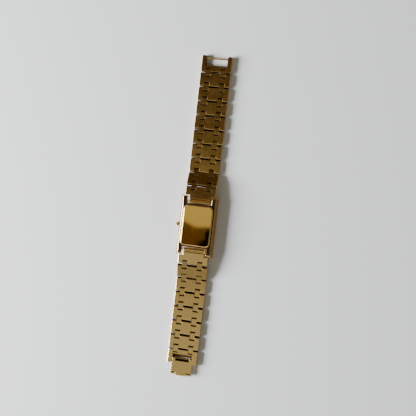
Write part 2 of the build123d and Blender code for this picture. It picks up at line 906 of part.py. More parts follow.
def stator():
    """The motor's soft iron plate: a back with the rotor's hole and two legs."""
    outline = Rectangle(stator_width, stator_length)
    window = Rectangle(stator_width - 2 * stator_leg_width, stator_length)
    outline = outline - Pos(0, stator_back_length) * window
    hole = Pos(rotor_x, rotor_y() - stator_y) * hidden_hole(rotor_hole_radius)
    low = plate_top_z + piece_lift
    return Pos(0, stator_y, low) * extrude(outline - hole, stator_thickness)


def rotor_y():
    """The rotor stands in the middle of the stator's back."""
    return stator_y - stator_length / 2 + stator_back_length / 2


def rotor():
    """The magnet and its axle."""
    magnet = round_disc(rotor_radius, plate_top_z + piece_lift, plate_top_z + rotor_height)
    axle = disc(rotor_axle_radius, plate_top_z + piece_lift, plate_top_z + rotor_axle_length)
    return Pos(rotor_x, rotor_y(), 0) * (magnet + axle)


def coil():
    """The motor's winding on its flat core, laid across the stator's legs."""
    low = plate_top_z + piece_lift + stator_thickness
    core = box_between(
        -stator_width / 2, stator_width / 2,
        -coil_core_width / 2, coil_core_width / 2,
        low, low + coil_core_thickness,
    )
    height = low + coil_core_thickness / 2
    winding = Pos(0, 0, height) * hidden_rod_along_x(coil_diameter / 2, coil_length)
    y = stator_y + stator_length / 2 - coil_core_from_top
    return Pos(0, y, 0) * (core + winding)


def circuit_board():
    """The board with its timing chip, beside the cell."""
    low = plate_top_z + piece_lift
    board = cut_corner_block(
        board_right - board_left, board_length, board_corner, low, low + board_thickness
    )
    chip_low = low + board_thickness
    chip = box_between(
        -chip_width / 2, chip_width / 2,
        -chip_width / 2, chip_width / 2,
        chip_low, chip_low + chip_height,
    )
    x, y = (board_left + board_right) / 2, board_low_y + board_length / 2
    return Pos(x, y, 0) * (board + chip)


# Crown and stem

def stem():
    """The round stem with its square end through the sliding pinion."""
    outer_end = case_width / 2 + crown_gap + crown_bore_depth
    shoulder = stem_inner_end + stem_square_length
    round_part = Pos(-(outer_end + shoulder) / 2, 0, 0) * rod_along_x(
        stem_radius, outer_end - shoulder
    )
    square_part = box_between(
        -shoulder, -stem_inner_end,
        -stem_square / 2, stem_square / 2,
        -stem_square / 2, stem_square / 2,
    )
    return Pos(0, 0, stem_height) * (round_part + square_part)


def crown_outline(share):
    """A fluted outline, at a share of full size: a peak and a valley for each flute."""
    points = []
    for step in range(2 * crown_flute_count):
        turn = radians(180 / crown_flute_count * step)
        radius = share * (crown_diameter / 2 - (step % 2) * crown_flute_depth)
        points.append((radius * cos(turn), radius * sin(turn)))
    return Polygon(*points, align=None)


def crown():
    """The fluted crown, tapered at its outer face, with a blind bore for the stem."""
    inner = case_width / 2 + crown_gap
    rim = crown_length - crown_face_bevel
    grip = extrude(crown_outline(1), rim)
    face = loft([
        Pos(0, 0, rim) * crown_outline(1),
        Pos(0, 0, crown_length) * crown_outline(crown_face_share),
    ])
    hole = bore(stem_radius + crown_bore_play, 0, crown_bore_depth + crown_bore_play)
    return Pos(-inner, 0, stem_height) * Rot(0, -90, 0) * (grip + face - hole)


def sliding_pinion():
    """The pinion that turns with the stem while the stem slides through it."""
    body = rod_along_x(sliding_pinion_radius, sliding_pinion_length)
    side = stem_square + 2 * sliding_pinion_play
    hole = Box(sliding_pinion_length + overrun, side, side)
    return Pos(-sliding_pinion_from_centre, 0, stem_height) * (body - hole)


# Where the strap's pieces stand

droop_lengths_and_shares = [
    (end_link_reach, end_link_tilt_share),
    (connector_pin_spacing, end_connector_tilt_share),
    (link_reach, steepest_link_tilt_share),
    (connector_pin_spacing, foot_connector_tilt_share),
]


def fall_at(tilt):
    """How far the hinge line falls from the spring bar to the first flat link."""
    return sum(
        length * sin(radians(share * tilt)) for length, share in droop_lengths_and_shares
    )


def steepest_tilt():
    """The steepest link's tilt, halved in on until the strap just lies on the table."""
    low, high = 0, steepest_possible_angle
    for _ in range(slope_halving_count):
        middle = (low + high) / 2
        if fall_at(middle) < pivot_z - strap_middle_z:
            low = middle
        else:
            high = middle
    return high


def strap_places(link_count):
    """Each piece's hinge axis as (distance from the spring bar's row, height, tilt), going out."""
    tilt = steepest_tilt()
    flat_lengths = [link_reach, connector_pin_spacing] * (link_count - 1)
    steps = droop_lengths_and_shares + [(length, 0) for length in flat_lengths]
    y, z = spring_bar_from_centre, pivot_z
    places = []
    for length, share in steps:
        angle = radians(share * tilt)
        places.append((y, z, share * tilt))
        y, z = y + length * cos(angle), z - length * sin(angle)
    places.append((y, z, 0))
    return places


def strap_names(end, link_count, last):
    """The names of the pieces that strap_places stands, in the same order."""
    names = [f"end_link_{end}"]
    for number in range(1, link_count + 1):
        names += [f"connectors_{end}_{number}", f"link_{end}_{number}"]
    return names + [f"connectors_{end}_{link_count + 1}", last]


def standing(place, turned):
    """The location of a strap piece; the 6 o'clock strap is turned round about Z."""
    y, z, tilt = place
    return Rot(0, 0, turned) * Pos(0, y, z) * Rot(-tilt, 0, 0)


# Build every node and write it

def strap_pieces(end, link_count, last_name, last_piece, turned):
    """All pieces of one strap by name, each in its place."""
    makers = {"end": end_link(), "connectors": connector_pair(), "link": wide_link()}
    pieces = {}
    for name, place in zip(
        strap_names(end, link_count, last_name), strap_places(link_count)
    ):
        shape = last_piece if name == last_name else makers[name.split("_")[0]]
        pieces[name] = moved(shape, standing(place, turned))
    return pieces


def moved(shape, location):
    """A copy of a solid, or of each solid in a list, at a location."""
    if isinstance(shape, list):
        return [location * one for one in shape]
    return location * shape


def spring_bars():
    """Both spring bars in their lugs."""
    return [
        Pos(0, side * spring_bar_from_centre, pivot_z) * spring_bar() for side in (-1, 1)
    ]


def all_nodes():
    """Every node of the watch by name."""
    nodes = {
        "case_body": case_body(),
        "crystal": crystal(),
        "crystal_gasket": crystal_gasket(),
        "case_back": case_back(),
        "case_back_gasket": case_back_gasket(),
        "spring_bars": spring_bars(),
        "dial": dial(),
        "hour_hand": hour_hand(),
        "minute_hand": minute_hand(),
        "hour_wheel": hour_wheel(),
        "cannon_pinion": cannon_pinion(),
        "minute_wheel": minute_wheel(),
        "main_plate": main_plate(),
        "movement_ring": movement_ring(),
        "train_bridge": train_bridge(),
        "battery": battery(),
        "stator": stator(),
        "rotor": rotor(),
        "coil": coil(),
        "circuit_board": circuit_board(),
        "stem": stem(),
        "crown": crown(),
        "sliding_pinion": sliding_pinion(),
    }
    nodes.update(strap_pieces("12", towards_12_link_count, "catch_frame", catch_frame(), 0))
    nodes.update(strap_pieces("6", towards_6_link_count, "hook_frame", hook_frame(), 180))
    at_catch = standing(strap_places(towards_12_link_count)[-1], 0)
    nodes["catch_bar"] = at_catch * catch_bar()
    at_hook = standing(strap_places(towards_6_link_count)[-1], 180)
    at_hook = at_hook * Pos(0, hook_pin_y, hook_pin_above_middle)
    nodes["hook_pin"] = at_hook * hook_pin()
    nodes["hook_plate"] = at_hook * hook_plate()
    return nodes


os.makedirs("parts", exist_ok=True)
for name, shape in all_nodes().items():
    solids = shape if isinstance(shape, list) else shape.solids()
    whole = solids[0] if len(solids) == 1 else Compound(children=list(solids))
    whole.label = name
    export_step(whole, os.path.join("parts", f"{name}.step"))
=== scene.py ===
import json
import math
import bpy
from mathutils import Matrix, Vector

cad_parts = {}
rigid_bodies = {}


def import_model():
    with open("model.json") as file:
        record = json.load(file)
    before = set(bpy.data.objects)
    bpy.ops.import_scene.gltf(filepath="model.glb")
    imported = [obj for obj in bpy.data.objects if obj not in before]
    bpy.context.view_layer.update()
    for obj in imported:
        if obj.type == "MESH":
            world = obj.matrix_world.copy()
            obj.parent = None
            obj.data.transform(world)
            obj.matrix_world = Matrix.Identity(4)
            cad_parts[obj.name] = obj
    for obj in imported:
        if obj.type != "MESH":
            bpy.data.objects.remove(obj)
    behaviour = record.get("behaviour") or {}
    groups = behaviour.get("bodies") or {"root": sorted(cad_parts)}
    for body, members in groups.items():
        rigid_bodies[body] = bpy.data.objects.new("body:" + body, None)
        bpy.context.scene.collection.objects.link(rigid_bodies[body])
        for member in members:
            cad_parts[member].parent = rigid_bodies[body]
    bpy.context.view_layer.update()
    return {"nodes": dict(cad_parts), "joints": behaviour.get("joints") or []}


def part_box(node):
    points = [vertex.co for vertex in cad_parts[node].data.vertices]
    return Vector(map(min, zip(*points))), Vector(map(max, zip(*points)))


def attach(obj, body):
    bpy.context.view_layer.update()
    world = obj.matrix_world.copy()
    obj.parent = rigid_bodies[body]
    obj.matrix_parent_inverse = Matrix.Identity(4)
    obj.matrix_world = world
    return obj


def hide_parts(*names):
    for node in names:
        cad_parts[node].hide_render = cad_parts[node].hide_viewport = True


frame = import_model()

from types import SimpleNamespace

import bmesh
import bpy
from bpy.props import FloatProperty, FloatVectorProperty, IntProperty, PointerProperty
from mathutils import Matrix, Vector

bl_info = {
    "name": "Rectangular Watch",
    "version": (1, 0, 0),
    "blender": (4, 5, 0),
    "location": "3D View > Sidebar > Watch",
    "description": "Dresses a rectangular watch that lies face down with its link bracelet open",
    "category": "Add Mesh",
}

# The frame is in metres. Pieces are made in millimetres and brought down when they are placed.
MM = 0.001
HINGES = {joint["name"]: joint for joint in frame["joints"]}
AS_DRAWN = Matrix.Scale(MM, 4)


def linear_colour(code):
    """A colour given as an sRGB hex code, turned to the linear values that shaders take."""
    parts = [int(code[start:start + 2], 16) / 255 for start in (1, 3, 5)]
    return [p / 12.92 if p <= 0.04045 else ((p + 0.055) / 1.055) ** 2.4 for p in parts]


# Where the bracelet's pieces stand

def strap_chain(first):
    """The pieces of one strap in order, found by following the hinges outwards from the case."""
    chain = [first]
    while True:
        following = [
            joint["child"] for joint in frame["joints"]
            if joint["parent"] == chain[-1] and joint["child"] != "hook_plate"
        ]
        if not following:
            return chain
        chain.append(following[0])


STRAPS = {"12": strap_chain("end_link_12"), "6": strap_chain("end_link_6")}
WIDE_LINKS = [piece for chain in STRAPS.values() for piece in chain if piece.startswith("link")]
CONNECTORS = [piece for chain in STRAPS.values() for piece in chain if piece.startswith("conn")]


def hinge_point(piece):
    """The place of a bracelet piece's inner hinge, in metres."""
    return Vector(HINGES[piece + "_hinge"]["pos_m"])


def standing(piece):
    """The matrix that puts a piece, made in millimetres with its inner hinge at zero, in place."""
    end = "12" if piece in STRAPS["12"] else "6"
    chain = STRAPS[end]
    side = 1 if end == "12" else -1
    following = chain.index(piece) + 1
    start = hinge_point(piece)
    along = Vector((0, side, 0))
    if following < len(chain):
        along = (hinge_point(chain[following]) - start).normalized()
    across = Vector((side, 0, 0))
    turn = Matrix((across, along, across.cross(along))).transposed().to_4x4()
    return Matrix.Translation(start) @ turn @ AS_DRAWN


def hinge_distance(piece):
    """The distance from a piece's inner hinge to its outer one, in metres."""
    chain = next(chain for chain in STRAPS.values() if piece in chain)
    return (hinge_point(chain[chain.index(piece) + 1]) - hinge_point(piece)).length


def box_size(node):
    """The size of a CAD node's box, in metres."""
    low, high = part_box(node)
    return [b - a for a, b in zip(low, high)]


FLAT_LINK = box_size(WIDE_LINKS[5])
FLAT_PAIR = box_size(CONNECTORS[5])
# The keels are dressed with a thin crest, which leaves 0.1 mm between neighbours.
KEEL_CREST = 0.1 * MM
CROWN = box_size("crown")
CASE_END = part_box("case_back")[1][1]
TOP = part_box("case_back")[1][2]


# Sizes and colours that a user would change

class WatchStageSettings(bpy.types.PropertyGroup):
    """The camera, the tabletop and the light."""

    camera_distance: FloatProperty(
        name="Camera Distance", description="From the camera to the point that it looks at",
        default=0.4, min=0.1, unit="LENGTH")
    camera_roll: FloatProperty(
        name="Camera Roll", description="Turn of the picture about the view line",
        default=math.radians(6.8), subtype="ANGLE")
    camera_lean: FloatProperty(
        name="Camera Lean", description="Lean of the view line towards the picture's right side",
        default=math.radians(10.5), subtype="ANGLE")
    picture_width: FloatProperty(
        name="Picture Width", description="Width of the picture at the watch",
        default=0.2157, min=0.05, unit="LENGTH")
    tabletop_colour: FloatVectorProperty(
        name="Tabletop Colour", description="Colour of the pale tabletop",
        default=linear_colour("#DFE1E4"), subtype="COLOR", min=0, max=1)
    window_power: FloatProperty(
        name="Window Power", description="Power of the soft light from the left",
        default=41.0, min=0, unit="POWER")
    window_size: FloatProperty(
        name="Window Size", description="Side of the soft light from the left",
        default=0.46, min=0.01, unit="LENGTH")


class WatchBraceletSettings(bpy.types.PropertyGroup):
    """The sizes of the links and connectors."""

    link_width: FloatProperty(
        name="Link Width", description="Width of the bracelet across the wrist",
        default=FLAT_LINK[0], min=0, unit="LENGTH")
    link_length: FloatProperty(
        name="Link Length", description="Length of a wide link from keel to keel",
        default=FLAT_LINK[1] + 2 * KEEL_CREST, min=0, unit="LENGTH")
    link_thickness: FloatProperty(
        name="Link Thickness", description="Thickness of the bracelet",
        default=FLAT_LINK[2], min=0, unit="LENGTH")
    link_keel: FloatProperty(
        name="Link Keel", description="How far the ends of a link stand out halfway up",
        default=0.55 * MM, min=0, unit="LENGTH")
    link_edge: FloatProperty(
        name="Link Edge", description="Rounding along the edges of a wide link",
        default=0.18 * MM, min=0, unit="LENGTH")
    slot_width: FloatProperty(
        name="Slot Width", description="Width of a link's slot for a connector",
        default=2.7 * MM, min=0, unit="LENGTH")
    slot_depth: FloatProperty(
        name="Slot Depth", description="Depth of a slot from the link's upper edge",
        default=1.65 * MM, min=0, unit="LENGTH")
    slot_from_middle: FloatProperty(
        name="Slot From Middle", description="From the bracelet's middle line to a slot's middle",
        default=4.0 * MM, min=0, unit="LENGTH")
    pin_diameter: FloatProperty(
        name="Pin Diameter", description="Diameter of a hinge pin",
        default=0.7 * MM, min=0, unit="LENGTH")
    pin_end_height: FloatProperty(
        name="Pin End Height", description="How far a pin's end stands out of the link's side",
        default=0.04 * MM, min=0, unit="LENGTH")
    bore_play: FloatProperty(
        name="Bore Play", description="Play of a connector's bore on its pin",
        default=0.03 * MM, min=0, unit="LENGTH")
    connector_width: FloatProperty(
        name="Connector Width", description="Width of one small connector",
        default=2.6 * MM, min=0, unit="LENGTH")
    connector_length: FloatProperty(
        name="Connector Length", description="Length of a connector along the bracelet",
        default=FLAT_PAIR[1], min=0, unit="LENGTH")
    connector_thickness: FloatProperty(
        name="Connector Thickness", description="Thickness of a connector",
        default=FLAT_PAIR[2], min=0, unit="LENGTH")
    wrist_rounding: FloatProperty(
        name="Wrist Rounding", description="Rounding of a connector's ends on the wrist side",
        default=0.5 * MM, min=0, unit="LENGTH")
    face_rounding: FloatProperty(
        name="Face Rounding", description="Rounding of a connector's ends on the dial side",
        default=0.12 * MM, min=0, unit="LENGTH")


class WatchCaseSettings(bpy.types.PropertyGroup):
    """The sizes of the case's own details."""

    case_edge: FloatProperty(
        name="Case Edge", description="Rounding along the edges of the case",
        default=0.12 * MM, min=0, unit="LENGTH")
    back_edge: FloatProperty(
        name="Back Edge", description="Rounding along the edges of the case back",
        default=0.08 * MM, min=0, unit="LENGTH")
    crown_flutes: IntProperty(
        name="Crown Flutes", description="Number of flutes round the crown", default=16, min=3)
    flute_depth: FloatProperty(
        name="Flute Depth", description="Depth of the crown's flutes",
        default=0.12 * MM, min=0, unit="LENGTH")
    minute_ticks: IntProperty(
        name="Minute Ticks", description="Number of printed minute ticks on the dial",
        default=60, min=0)


# Nodes

FLOAT, WHOLE, VECTOR = "NodeSocketFloat", "NodeSocketInt", "NodeSocketVector"
FINISH = "NodeSocketMaterial"


def add_node(tree, kind, inputs=None, **attributes):
    """Adds a node to a tree, sets its attributes, and sets or links its inputs.

    An input takes a plain value, another node's output, or another node, which gives its first
    output that is in use. It takes a list of these to link more than one.
    """
    node = tree.nodes.new(kind)
    for name, value in attributes.items():
        setattr(node, name, value)
    for key, value in (inputs or {}).items():
        for one in value if isinstance(value, list) else [value]:
            if isinstance(one, bpy.types.Node):
                one = next(output for output in one.outputs if output.enabled)
            if isinstance(one, bpy.types.NodeSocket):
                tree.links.new(one, node.inputs[key])
            else:
                node.inputs[key].default_value = one
    return node


def new_tree(name, inputs):
    """An empty geometry tree with its named inputs, and what they give."""
    tree = bpy.data.node_groups.new(name, "GeometryNodeTree")
    tree.interface.new_socket("Geometry", in_out="OUTPUT", socket_type="NodeSocketGeometry")
    for label, kind in inputs.items():
        tree.interface.new_socket(label, in_out="INPUT", socket_type=kind)
    return tree, add_node(tree, "NodeGroupInput").outputs


def end_tree(tree, geometry, material):
    """Ends a geometry tree: instances made real, and the material set."""
    real = add_node(tree, "GeometryNodeRealizeInstances", {"Geometry": geometry})
    finished = add_node(
        tree, "GeometryNodeSetMaterial", {"Geometry": real, "Material": material})
    add_node(tree, "NodeGroupOutput", {"Geometry": finished})
    return tree


# Meshes

def new_object(name, data):
    """A new object of the scene with the given mesh, camera or lamp."""
    made = bpy.data.objects.new(name, data)
    bpy.context.scene.collection.objects.link(made)
    return made


def plain_mesh(maker):
    """The mesh that an object's modifiers make, with the object and its modifiers taken away."""
    graph = bpy.context.evaluated_depsgraph_get()
    mesh = bpy.data.meshes.new_from_object(maker.evaluated_get(graph))
    bpy.data.objects.remove(maker)
    return mesh


def round_edges(maker, width, segments=3, angle=40):
    """Rounds every edge sharper than an angle, or with no angle, those that the tree marked."""
    bevel = maker.modifiers.new("rounding", "BEVEL")
    bevel.width = width
    bevel.segments = segments
    bevel.use_clamp_overlap = False
    if angle is None:
        bevel.limit_method = "WEIGHT"
    else:
        bevel.limit_method = "ANGLE"
        bevel.angle_limit = math.radians(angle)


def grown(name, tree, values, rounding=0.0, segments=3, angle=40):
    """The plain mesh that a geometry tree and an edge rounding make."""
    maker = new_object(name, bpy.data.meshes.new(name))
    shape = maker.modifiers.new("shape", "NODES")
    shape.node_group = tree
    for item in tree.interface.items_tree:
        if item.in_out == "INPUT":
            shape[item.identifier] = values[item.name]
    if rounding:
        round_edges(maker, rounding, segments, angle)
    return plain_mesh(maker)


def mesh_of_shape(name, shape):
    """The mesh of a bmesh, which is then let go."""
    mesh = bpy.data.meshes.new(name)
    shape.to_mesh(mesh)
    shape.free()
    return mesh


def block(low, high):
    """A plain block between two corners, for cutting."""
    shape = bmesh.new()
    bmesh.ops.create_cube(shape, size=1)
    size = Vector(high) - Vector(low)
    shape.transform(Matrix.Translation(Vector(low) + size / 2) @ Matrix.Diagonal((*size, 1)))
    return mesh_of_shape("block", shape)


def bar_across(name, outline, half, width):
    """A bar across the bracelet with the given outline, its edges rounded."""
    shape = bmesh.new()
    ends = [[shape.verts.new((x, y, z)) for y, z in outline] for x in (-half, half)]
    for first, second in zip(range(len(outline)), [*range(1, len(outline)), 0]):
        shape.faces.new((ends[0][first], ends[0][second], ends[1][second], ends[1][first]))
    for end in ends:
        shape.faces.new(end)
    bmesh.ops.recalc_face_normals(shape, faces=shape.faces)
    maker = new_object(name, mesh_of_shape(name, shape))
    round_edges(maker, width, 2)
    return plain_mesh(maker)


def rounded_copy(node, width, segments=3, angle=40, frame_of_piece=AS_DRAWN, cuts=()):
    """A CAD node's shape, cut and with its edges rounded, in the frame that it was made in."""
    shape = bmesh.new()
    shape.from_mesh(frame["nodes"][node].data)
    shape.transform(frame_of_piece.inverted())
    bmesh.ops.remove_doubles(shape, verts=shape.verts, dist=0.0005)
    bmesh.ops.dissolve_limit(
        shape, angle_limit=math.radians(0.5), verts=shape.verts, edges=shape.edges)
    maker = new_object(node, mesh_of_shape(node, shape))
    cutters = [new_object("cutter", cut) for cut in cuts]
    for cutter in cutters:
        maker.modifiers.new("cut", "BOOLEAN").object = cutter
    round_edges(maker, width, segments, angle)
    mesh = plain_mesh(maker)
    for cutter in cutters:
        bpy.data.objects.remove(cutter)
    return mesh


def turned(name, profile, count=40):
    """A turned part along X, from the distances along it and the radii there."""
    shape = bmesh.new()
    rings = []
    for along, radius in profile:
        angles = [2 * math.pi * step / count for step in range(count)]
        rings.append([
            shape.verts.new((along, radius * math.cos(angle), radius * math.sin(angle)))
            for angle in angles])
    for ring, following in zip(rings, rings[1:]):
        for step in range(count):
            after = (step + 1) % count
            shape.faces.new((ring[step], ring[after], following[after], following[step]))
    shape.faces.new(list(reversed(rings[0])))
    shape.faces.new(rings[-1])
    bmesh.ops.recalc_face_normals(shape, faces=shape.faces)
    return mesh_of_shape(name, shape)


def join_meshes(name, meshes):
    """One mesh of several, each keeping its own materials."""
    joined = bmesh.new()
    materials = []
    for mesh in meshes:
        first = len(joined.faces)
        joined.from_mesh(mesh)
        joined.faces.ensure_lookup_table()
        for face in joined.faces[first:]:
            material = mesh.materials[face.material_index]
            if material not in materials:
                materials.append(material)
            face.material_index = materials.index(material)
    result = mesh_of_shape(name, joined)
    for material in materials:
        result.materials.append(material)
    return result


def finish(mesh, *names):
    """Gives a mesh its materials, the first of them all over."""
    mesh.materials.clear()
    for name in names:
        mesh.materials.append(MATERIALS[name])


# A face is level when its normal has at least the first part upwards or downwards, the side of
# a slot when it has the second across the bracelet, and its end when it has the third along it.
LEVEL, CROSSWISE, LENGTHWISE = 0.97, 0.92, 0.88
# The order of a bracelet piece's materials on its mesh.
SATIN, POLISHED, TARNISH_AND_SHADE, WEAR_AND_SHADE = range(4)
# Faces nearer than this to a slot or to the bracelet's side, in mm, still belong to it.
LINK_MARGIN = 0.2
# Faces whose middles are nearer than this to a plane or a groove, in mm, lie in it.
NEAR = 0.05


def finish_link(mesh, size, low=-math.inf, high=math.inf, steepness=LENGTHWISE):
    """Satin tops, polished sides and edges, worn slot sides, and tarnish inside the gaps; the dark
    brown of both also paints the shade that falls in the slots and gaps.

    What lies inside the gaps is looked for between a low and a high limit along the piece.
    """
    finish(
        mesh, "satin_gold_plate", "polished_gold_plate", "tarnish_and_shade_gold_plate",
        "wear_and_shade_gold_plate")
    slot_reach = size.slot_width / 2 + LINK_MARGIN
    side = size.link_width / 2 - size.link_edge - LINK_MARGIN
    for polygon in mesh.polygons:
        across, along, upwards = (abs(part) for part in polygon.normal)
        place = abs(polygon.center[0])
        at_slot = abs(place - size.slot_from_middle) < slot_reach
        hidden = along > steepness or across > CROSSWISE or at_slot
        if upwards > LEVEL:
            polygon.material_index = SATIN
        # Hidden faces in the slots and gaps get the darker finishes, whose brown paints their
        # shade.
        elif hidden and place < side and low < polygon.center[1] < high:
            polygon.material_index = TARNISH_AND_SHADE if along > across else WEAR_AND_SHADE
        else:
            polygon.material_index = POLISHED


def shaded(mesh, angle=35):
    """The mesh with smooth shading, in which large faces stay flat and steep edges sharp."""
    shape = bmesh.new()
    shape.from_mesh(mesh)
    for face in shape.faces:
        face.smooth = True
    for edge in shape.edges:
        edge.smooth = len(edge.link_faces) == 2 and edge.calc_face_angle(0) < math.radians(angle)
    shape.to_mesh(mesh)
    shape.free()
    maker = new_object(mesh.name, mesh)
    even = maker.modifiers.new("normals", "WEIGHTED_NORMAL")
    even.keep_sharp = True
    even.weight = 100
    return plain_mesh(maker)


def add_piece(node, mesh, body, matrix=AS_DRAWN, angle=35):
    """Brings a finished mesh into its place as the piece that stands for a CAD node."""
    name = node + "_dressed"
    mesh = shaded(mesh, angle)
    mesh.transform(matrix)
    mesh.name = name
    piece = new_object(name, mesh)
    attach(piece, body)
    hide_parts(node)


# Materials

MATERIALS = {}


def new_material(name):
    """The empty node tree of a new material, which is kept under its name."""
    material = bpy.data.materials.new(name)
    material.use_nodes = True
    material.node_tree.nodes.clear()
    MATERIALS[name] = material
    return material.node_tree


def cloud(tree, sizes, detail, turn=(0, 0, 0), ragged=0.5):
    """Noise in the object's own space, whose patches have the given sizes in millimetres."""
    place = add_node(tree, "ShaderNodeTexCoord").outputs["Object"]
    turned_place = add_node(tree, "ShaderNodeMapping", {"Vector": place, "Rotation": turn})
    scaled = add_node(tree, "ShaderNodeVectorMath", {
        0: turned_place, 1: tuple(1 / (MM * size) for size in sizes)}, operation="MULTIPLY")
    return add_node(tree, "ShaderNodeTexNoise", {
        "Vector": scaled, "Scale": 1.0, "Detail": detail, "Roughness": ragged})


def levels(tree, *parts):
    """The sum of patterns, each brought from its usual range to its own low and high level.

    Noise mostly lies between 0.3 and 0.7. A part may state another range after its levels.
    """
    total = None
    for value, low, high, *usual in parts:
        start, end = usual or (0.3, 0.7)
        level = add_node(tree, "ShaderNodeMapRange", {
            "Value": value, "From Min": start, "From Max": end, "To Min": low, "To Max": high})
        if total:
            level = add_node(tree, "ShaderNodeMath", {0: total, 1: level}, operation="ADD")
        total = level
    return total


def end_material(tree, tint=None, colours=(), height=None, depth=0.0, **settings):
    """Ends a material with its shader, whose inputs are the settings by name.

    The tint picks a shade between two sRGB colours, and the height's full range is a relief
    of the given depth in millimetres.
    """
    inputs = {label.replace("_", " "): value for label, value in settings.items()}
    if colours:
        low, high = ((*linear_colour(code), 1) for code in colours)
        inputs["Base Color"] = add_node(
            tree, "ShaderNodeMix", {0: tint, 6: low, 7: high}, data_type="RGBA")
    if height:
        inputs["Normal"] = add_node(tree, "ShaderNodeBump", {
            "Height": height, "Distance": depth * MM, "Strength": 1.0})
    shader = add_node(tree, "ShaderNodeBsdfPrincipled", inputs)
    add_node(tree, "ShaderNodeOutputMaterial", {"Surface": shader})


def make_plain(name, sizes, detail, colours, roughness, depth=0.0, ragged=0.5, **settings):
    """A finish with one pattern, which sets its shade, its relief and, as a pair, its roughness."""
    tree = new_material(name)
    pattern = cloud(tree, sizes, detail, ragged=ragged)
    if isinstance(roughness, tuple):
        roughness = levels(tree, (pattern, *roughness))
    end_material(
        tree, levels(tree, (pattern, 0.0, 1.0)), colours, pattern if depth else None, depth,
        Roughness=roughness, **settings)


def make_satin_gold():
    """Gold-plated brass, satin-brushed lengthwise.

    To the eye it is a soft, even sheen with a fine sparkling grain, a little duller in patches
    where it was handled.
    """
    tree = new_material("satin_gold_plate")
    # Real brush lines are about 0.03 mm apart; the broad ones are drawn at 0.25 mm to show.
    broad = cloud(tree, (0.25, 1.6, 0.25), 2.0)
    fine = cloud(tree, (0.08, 0.5, 0.08), 1.0)
    handled = cloud(tree, (6.0, 6.0, 6.0), 3.0)
    # The sparkle of single grains is drawn at 0.45 mm, as coarse as the eye joins it up.
    sparkle = cloud(tree, (0.45, 0.45, 0.45), 1.0)
    lines = levels(tree, (broad, 0.0, 0.5, 0.0, 1.0), (fine, 0.0, 0.5, 0.0, 1.0))
    end_material(
        tree, levels(tree, (lines, 0.0, 0.5), (sparkle, 0.0, 0.5)), ("#CDA963", "#F0CE8B"),
        levels(tree, (sparkle, 0.0, 1.6, 0.0, 1.0), (lines, 0.0, 1.0, 0.0, 1.0)), 0.004,
        Metallic=1.0, Roughness=levels(tree, (lines, 0.15, 0.23), (handled, -0.02, 0.03)))


def make_polished_gold():
    """Gold-plated brass, polished.

    To the eye it mirrors the room, with faint hairlines and slightly duller smudges.
    """
    tree = new_material("polished_gold_plate")
    smudge = cloud(tree, (3.0, 3.0, 3.0), 4.0, ragged=0.6)
    # Real hairlines are about 0.01 mm wide; they are drawn at 0.08 mm to show.
    hair = cloud(tree, (0.08, 2.2, 0.3), 1.0, turn=(0, 0, math.radians(24)))
    cross = cloud(tree, (0.08, 2.6, 0.3), 1.0, turn=(0, 0, math.radians(-51)))
    scratches = add_node(tree, "ShaderNodeMath", {
        0: levels(tree, (hair, 0.0, 1.0, 0.66, 0.74)),
        1: levels(tree, (cross, 0.0, 1.0, 0.68, 0.76))}, operation="MAXIMUM")
    end_material(
        tree, levels(tree, (smudge, 0.0, 1.0)), ("#E6C27C", "#EECB8A"), scratches, 0.0006,
        Metallic=1.0, Roughness=levels(tree, (smudge, 0.06, 0.13), (scratches, 0.0, 0.1, 0.0, 1.0)))


def make_mirror_gold():
    """Gold-plated brass, stamped and mirror-polished.

    To the eye it is a slightly uneven mirror with skin marks, as a thin stamped back is.
    """
    tree = new_material("mirror_gold_plate")
    smudge = cloud(tree, (2.6, 3.4, 3.0), 5.0, ragged=0.65)
    swell = cloud(tree, (17.0, 20.0, 17.0), 0.0)
    hair = cloud(tree, (0.08, 1.6, 0.3), 1.0, turn=(0, 0, math.radians(63)))
    scratches = levels(tree, (hair, 0.0, 1.0, 0.68, 0.75))
    end_material(
        tree, levels(tree, (smudge, 0.0, 1.0)), ("#E4BF76", "#ECC885"), swell, 0.006,
        Metallic=1.0,
        Roughness=levels(tree, (smudge, 0.02, 0.045), (scratches, 0.0, 0.06, 0.0, 1.0)))


def make_dial_finish():
    """Brass dial, silver-plated and brushed from its middle outwards under lacquer.

    To the eye it is champagne-coloured, with rays of light that turn round the middle.
    """
    tree = new_material("sunray_dial")
    place = add_node(tree, "ShaderNodeTexCoord").outputs["Object"]
    parts = add_node(tree, "ShaderNodeSeparateXYZ", {"Vector": place}).outputs
    angle = add_node(
        tree, "ShaderNodeMath", {0: parts["Y"], 1: parts["X"]}, operation="ARCTAN2")
    # Real rays are about 0.05 mm apart at the rim; they are drawn three times as coarse.
    rays = add_node(tree, "ShaderNodeTexNoise", {
        "W": angle, "Scale": 60.0, "Detail": 3.0, "Roughness": 0.6}, noise_dimensions="1D")
    end_material(
        tree, levels(tree, (rays, 0.0, 1.0)), ("#D8CDB0", "#EEE6CE"), rays, 0.004,
        Metallic=0.85, Coat_Weight=0.3, Roughness=levels(tree, (rays, 0.22, 0.36)))


def make_board_and_glass():
    """The circuit board's lacquer and the crystal's glass."""
    # Glass-fibre board under green solder resist: glossy, with the weave just showing.
    tree = new_material("lacquered_board")
    weave = levels(
        tree, (cloud(tree, (0.2, 2.0, 1.0), 0.0), 0.0, 1.0, 0.0, 1.0),
        (cloud(tree, (2.0, 0.2, 1.0), 0.0), 0.0, 1.0, 0.0, 1.0))
    end_material(
        tree, levels(tree, (weave, 0.0, 1.0, 0.7, 1.3)), ("#0C4A25", "#146334"), weave, 0.006,
        Coat_Weight=0.4, Roughness=0.35)
    # Mineral glass, ground and polished: clear and faintly green, with the film of a wipe.
    tree = new_material("mineral_glass")
    film = cloud(tree, (1.5, 2.5, 1.5), 3.0)
    end_material(
        tree, Base_Color=(*linear_colour("#F4FAF7"), 1), IOR=1.52, Transmission_Weight=1.0,
        Roughness=levels(tree, (film, 0.0, 0.02)))


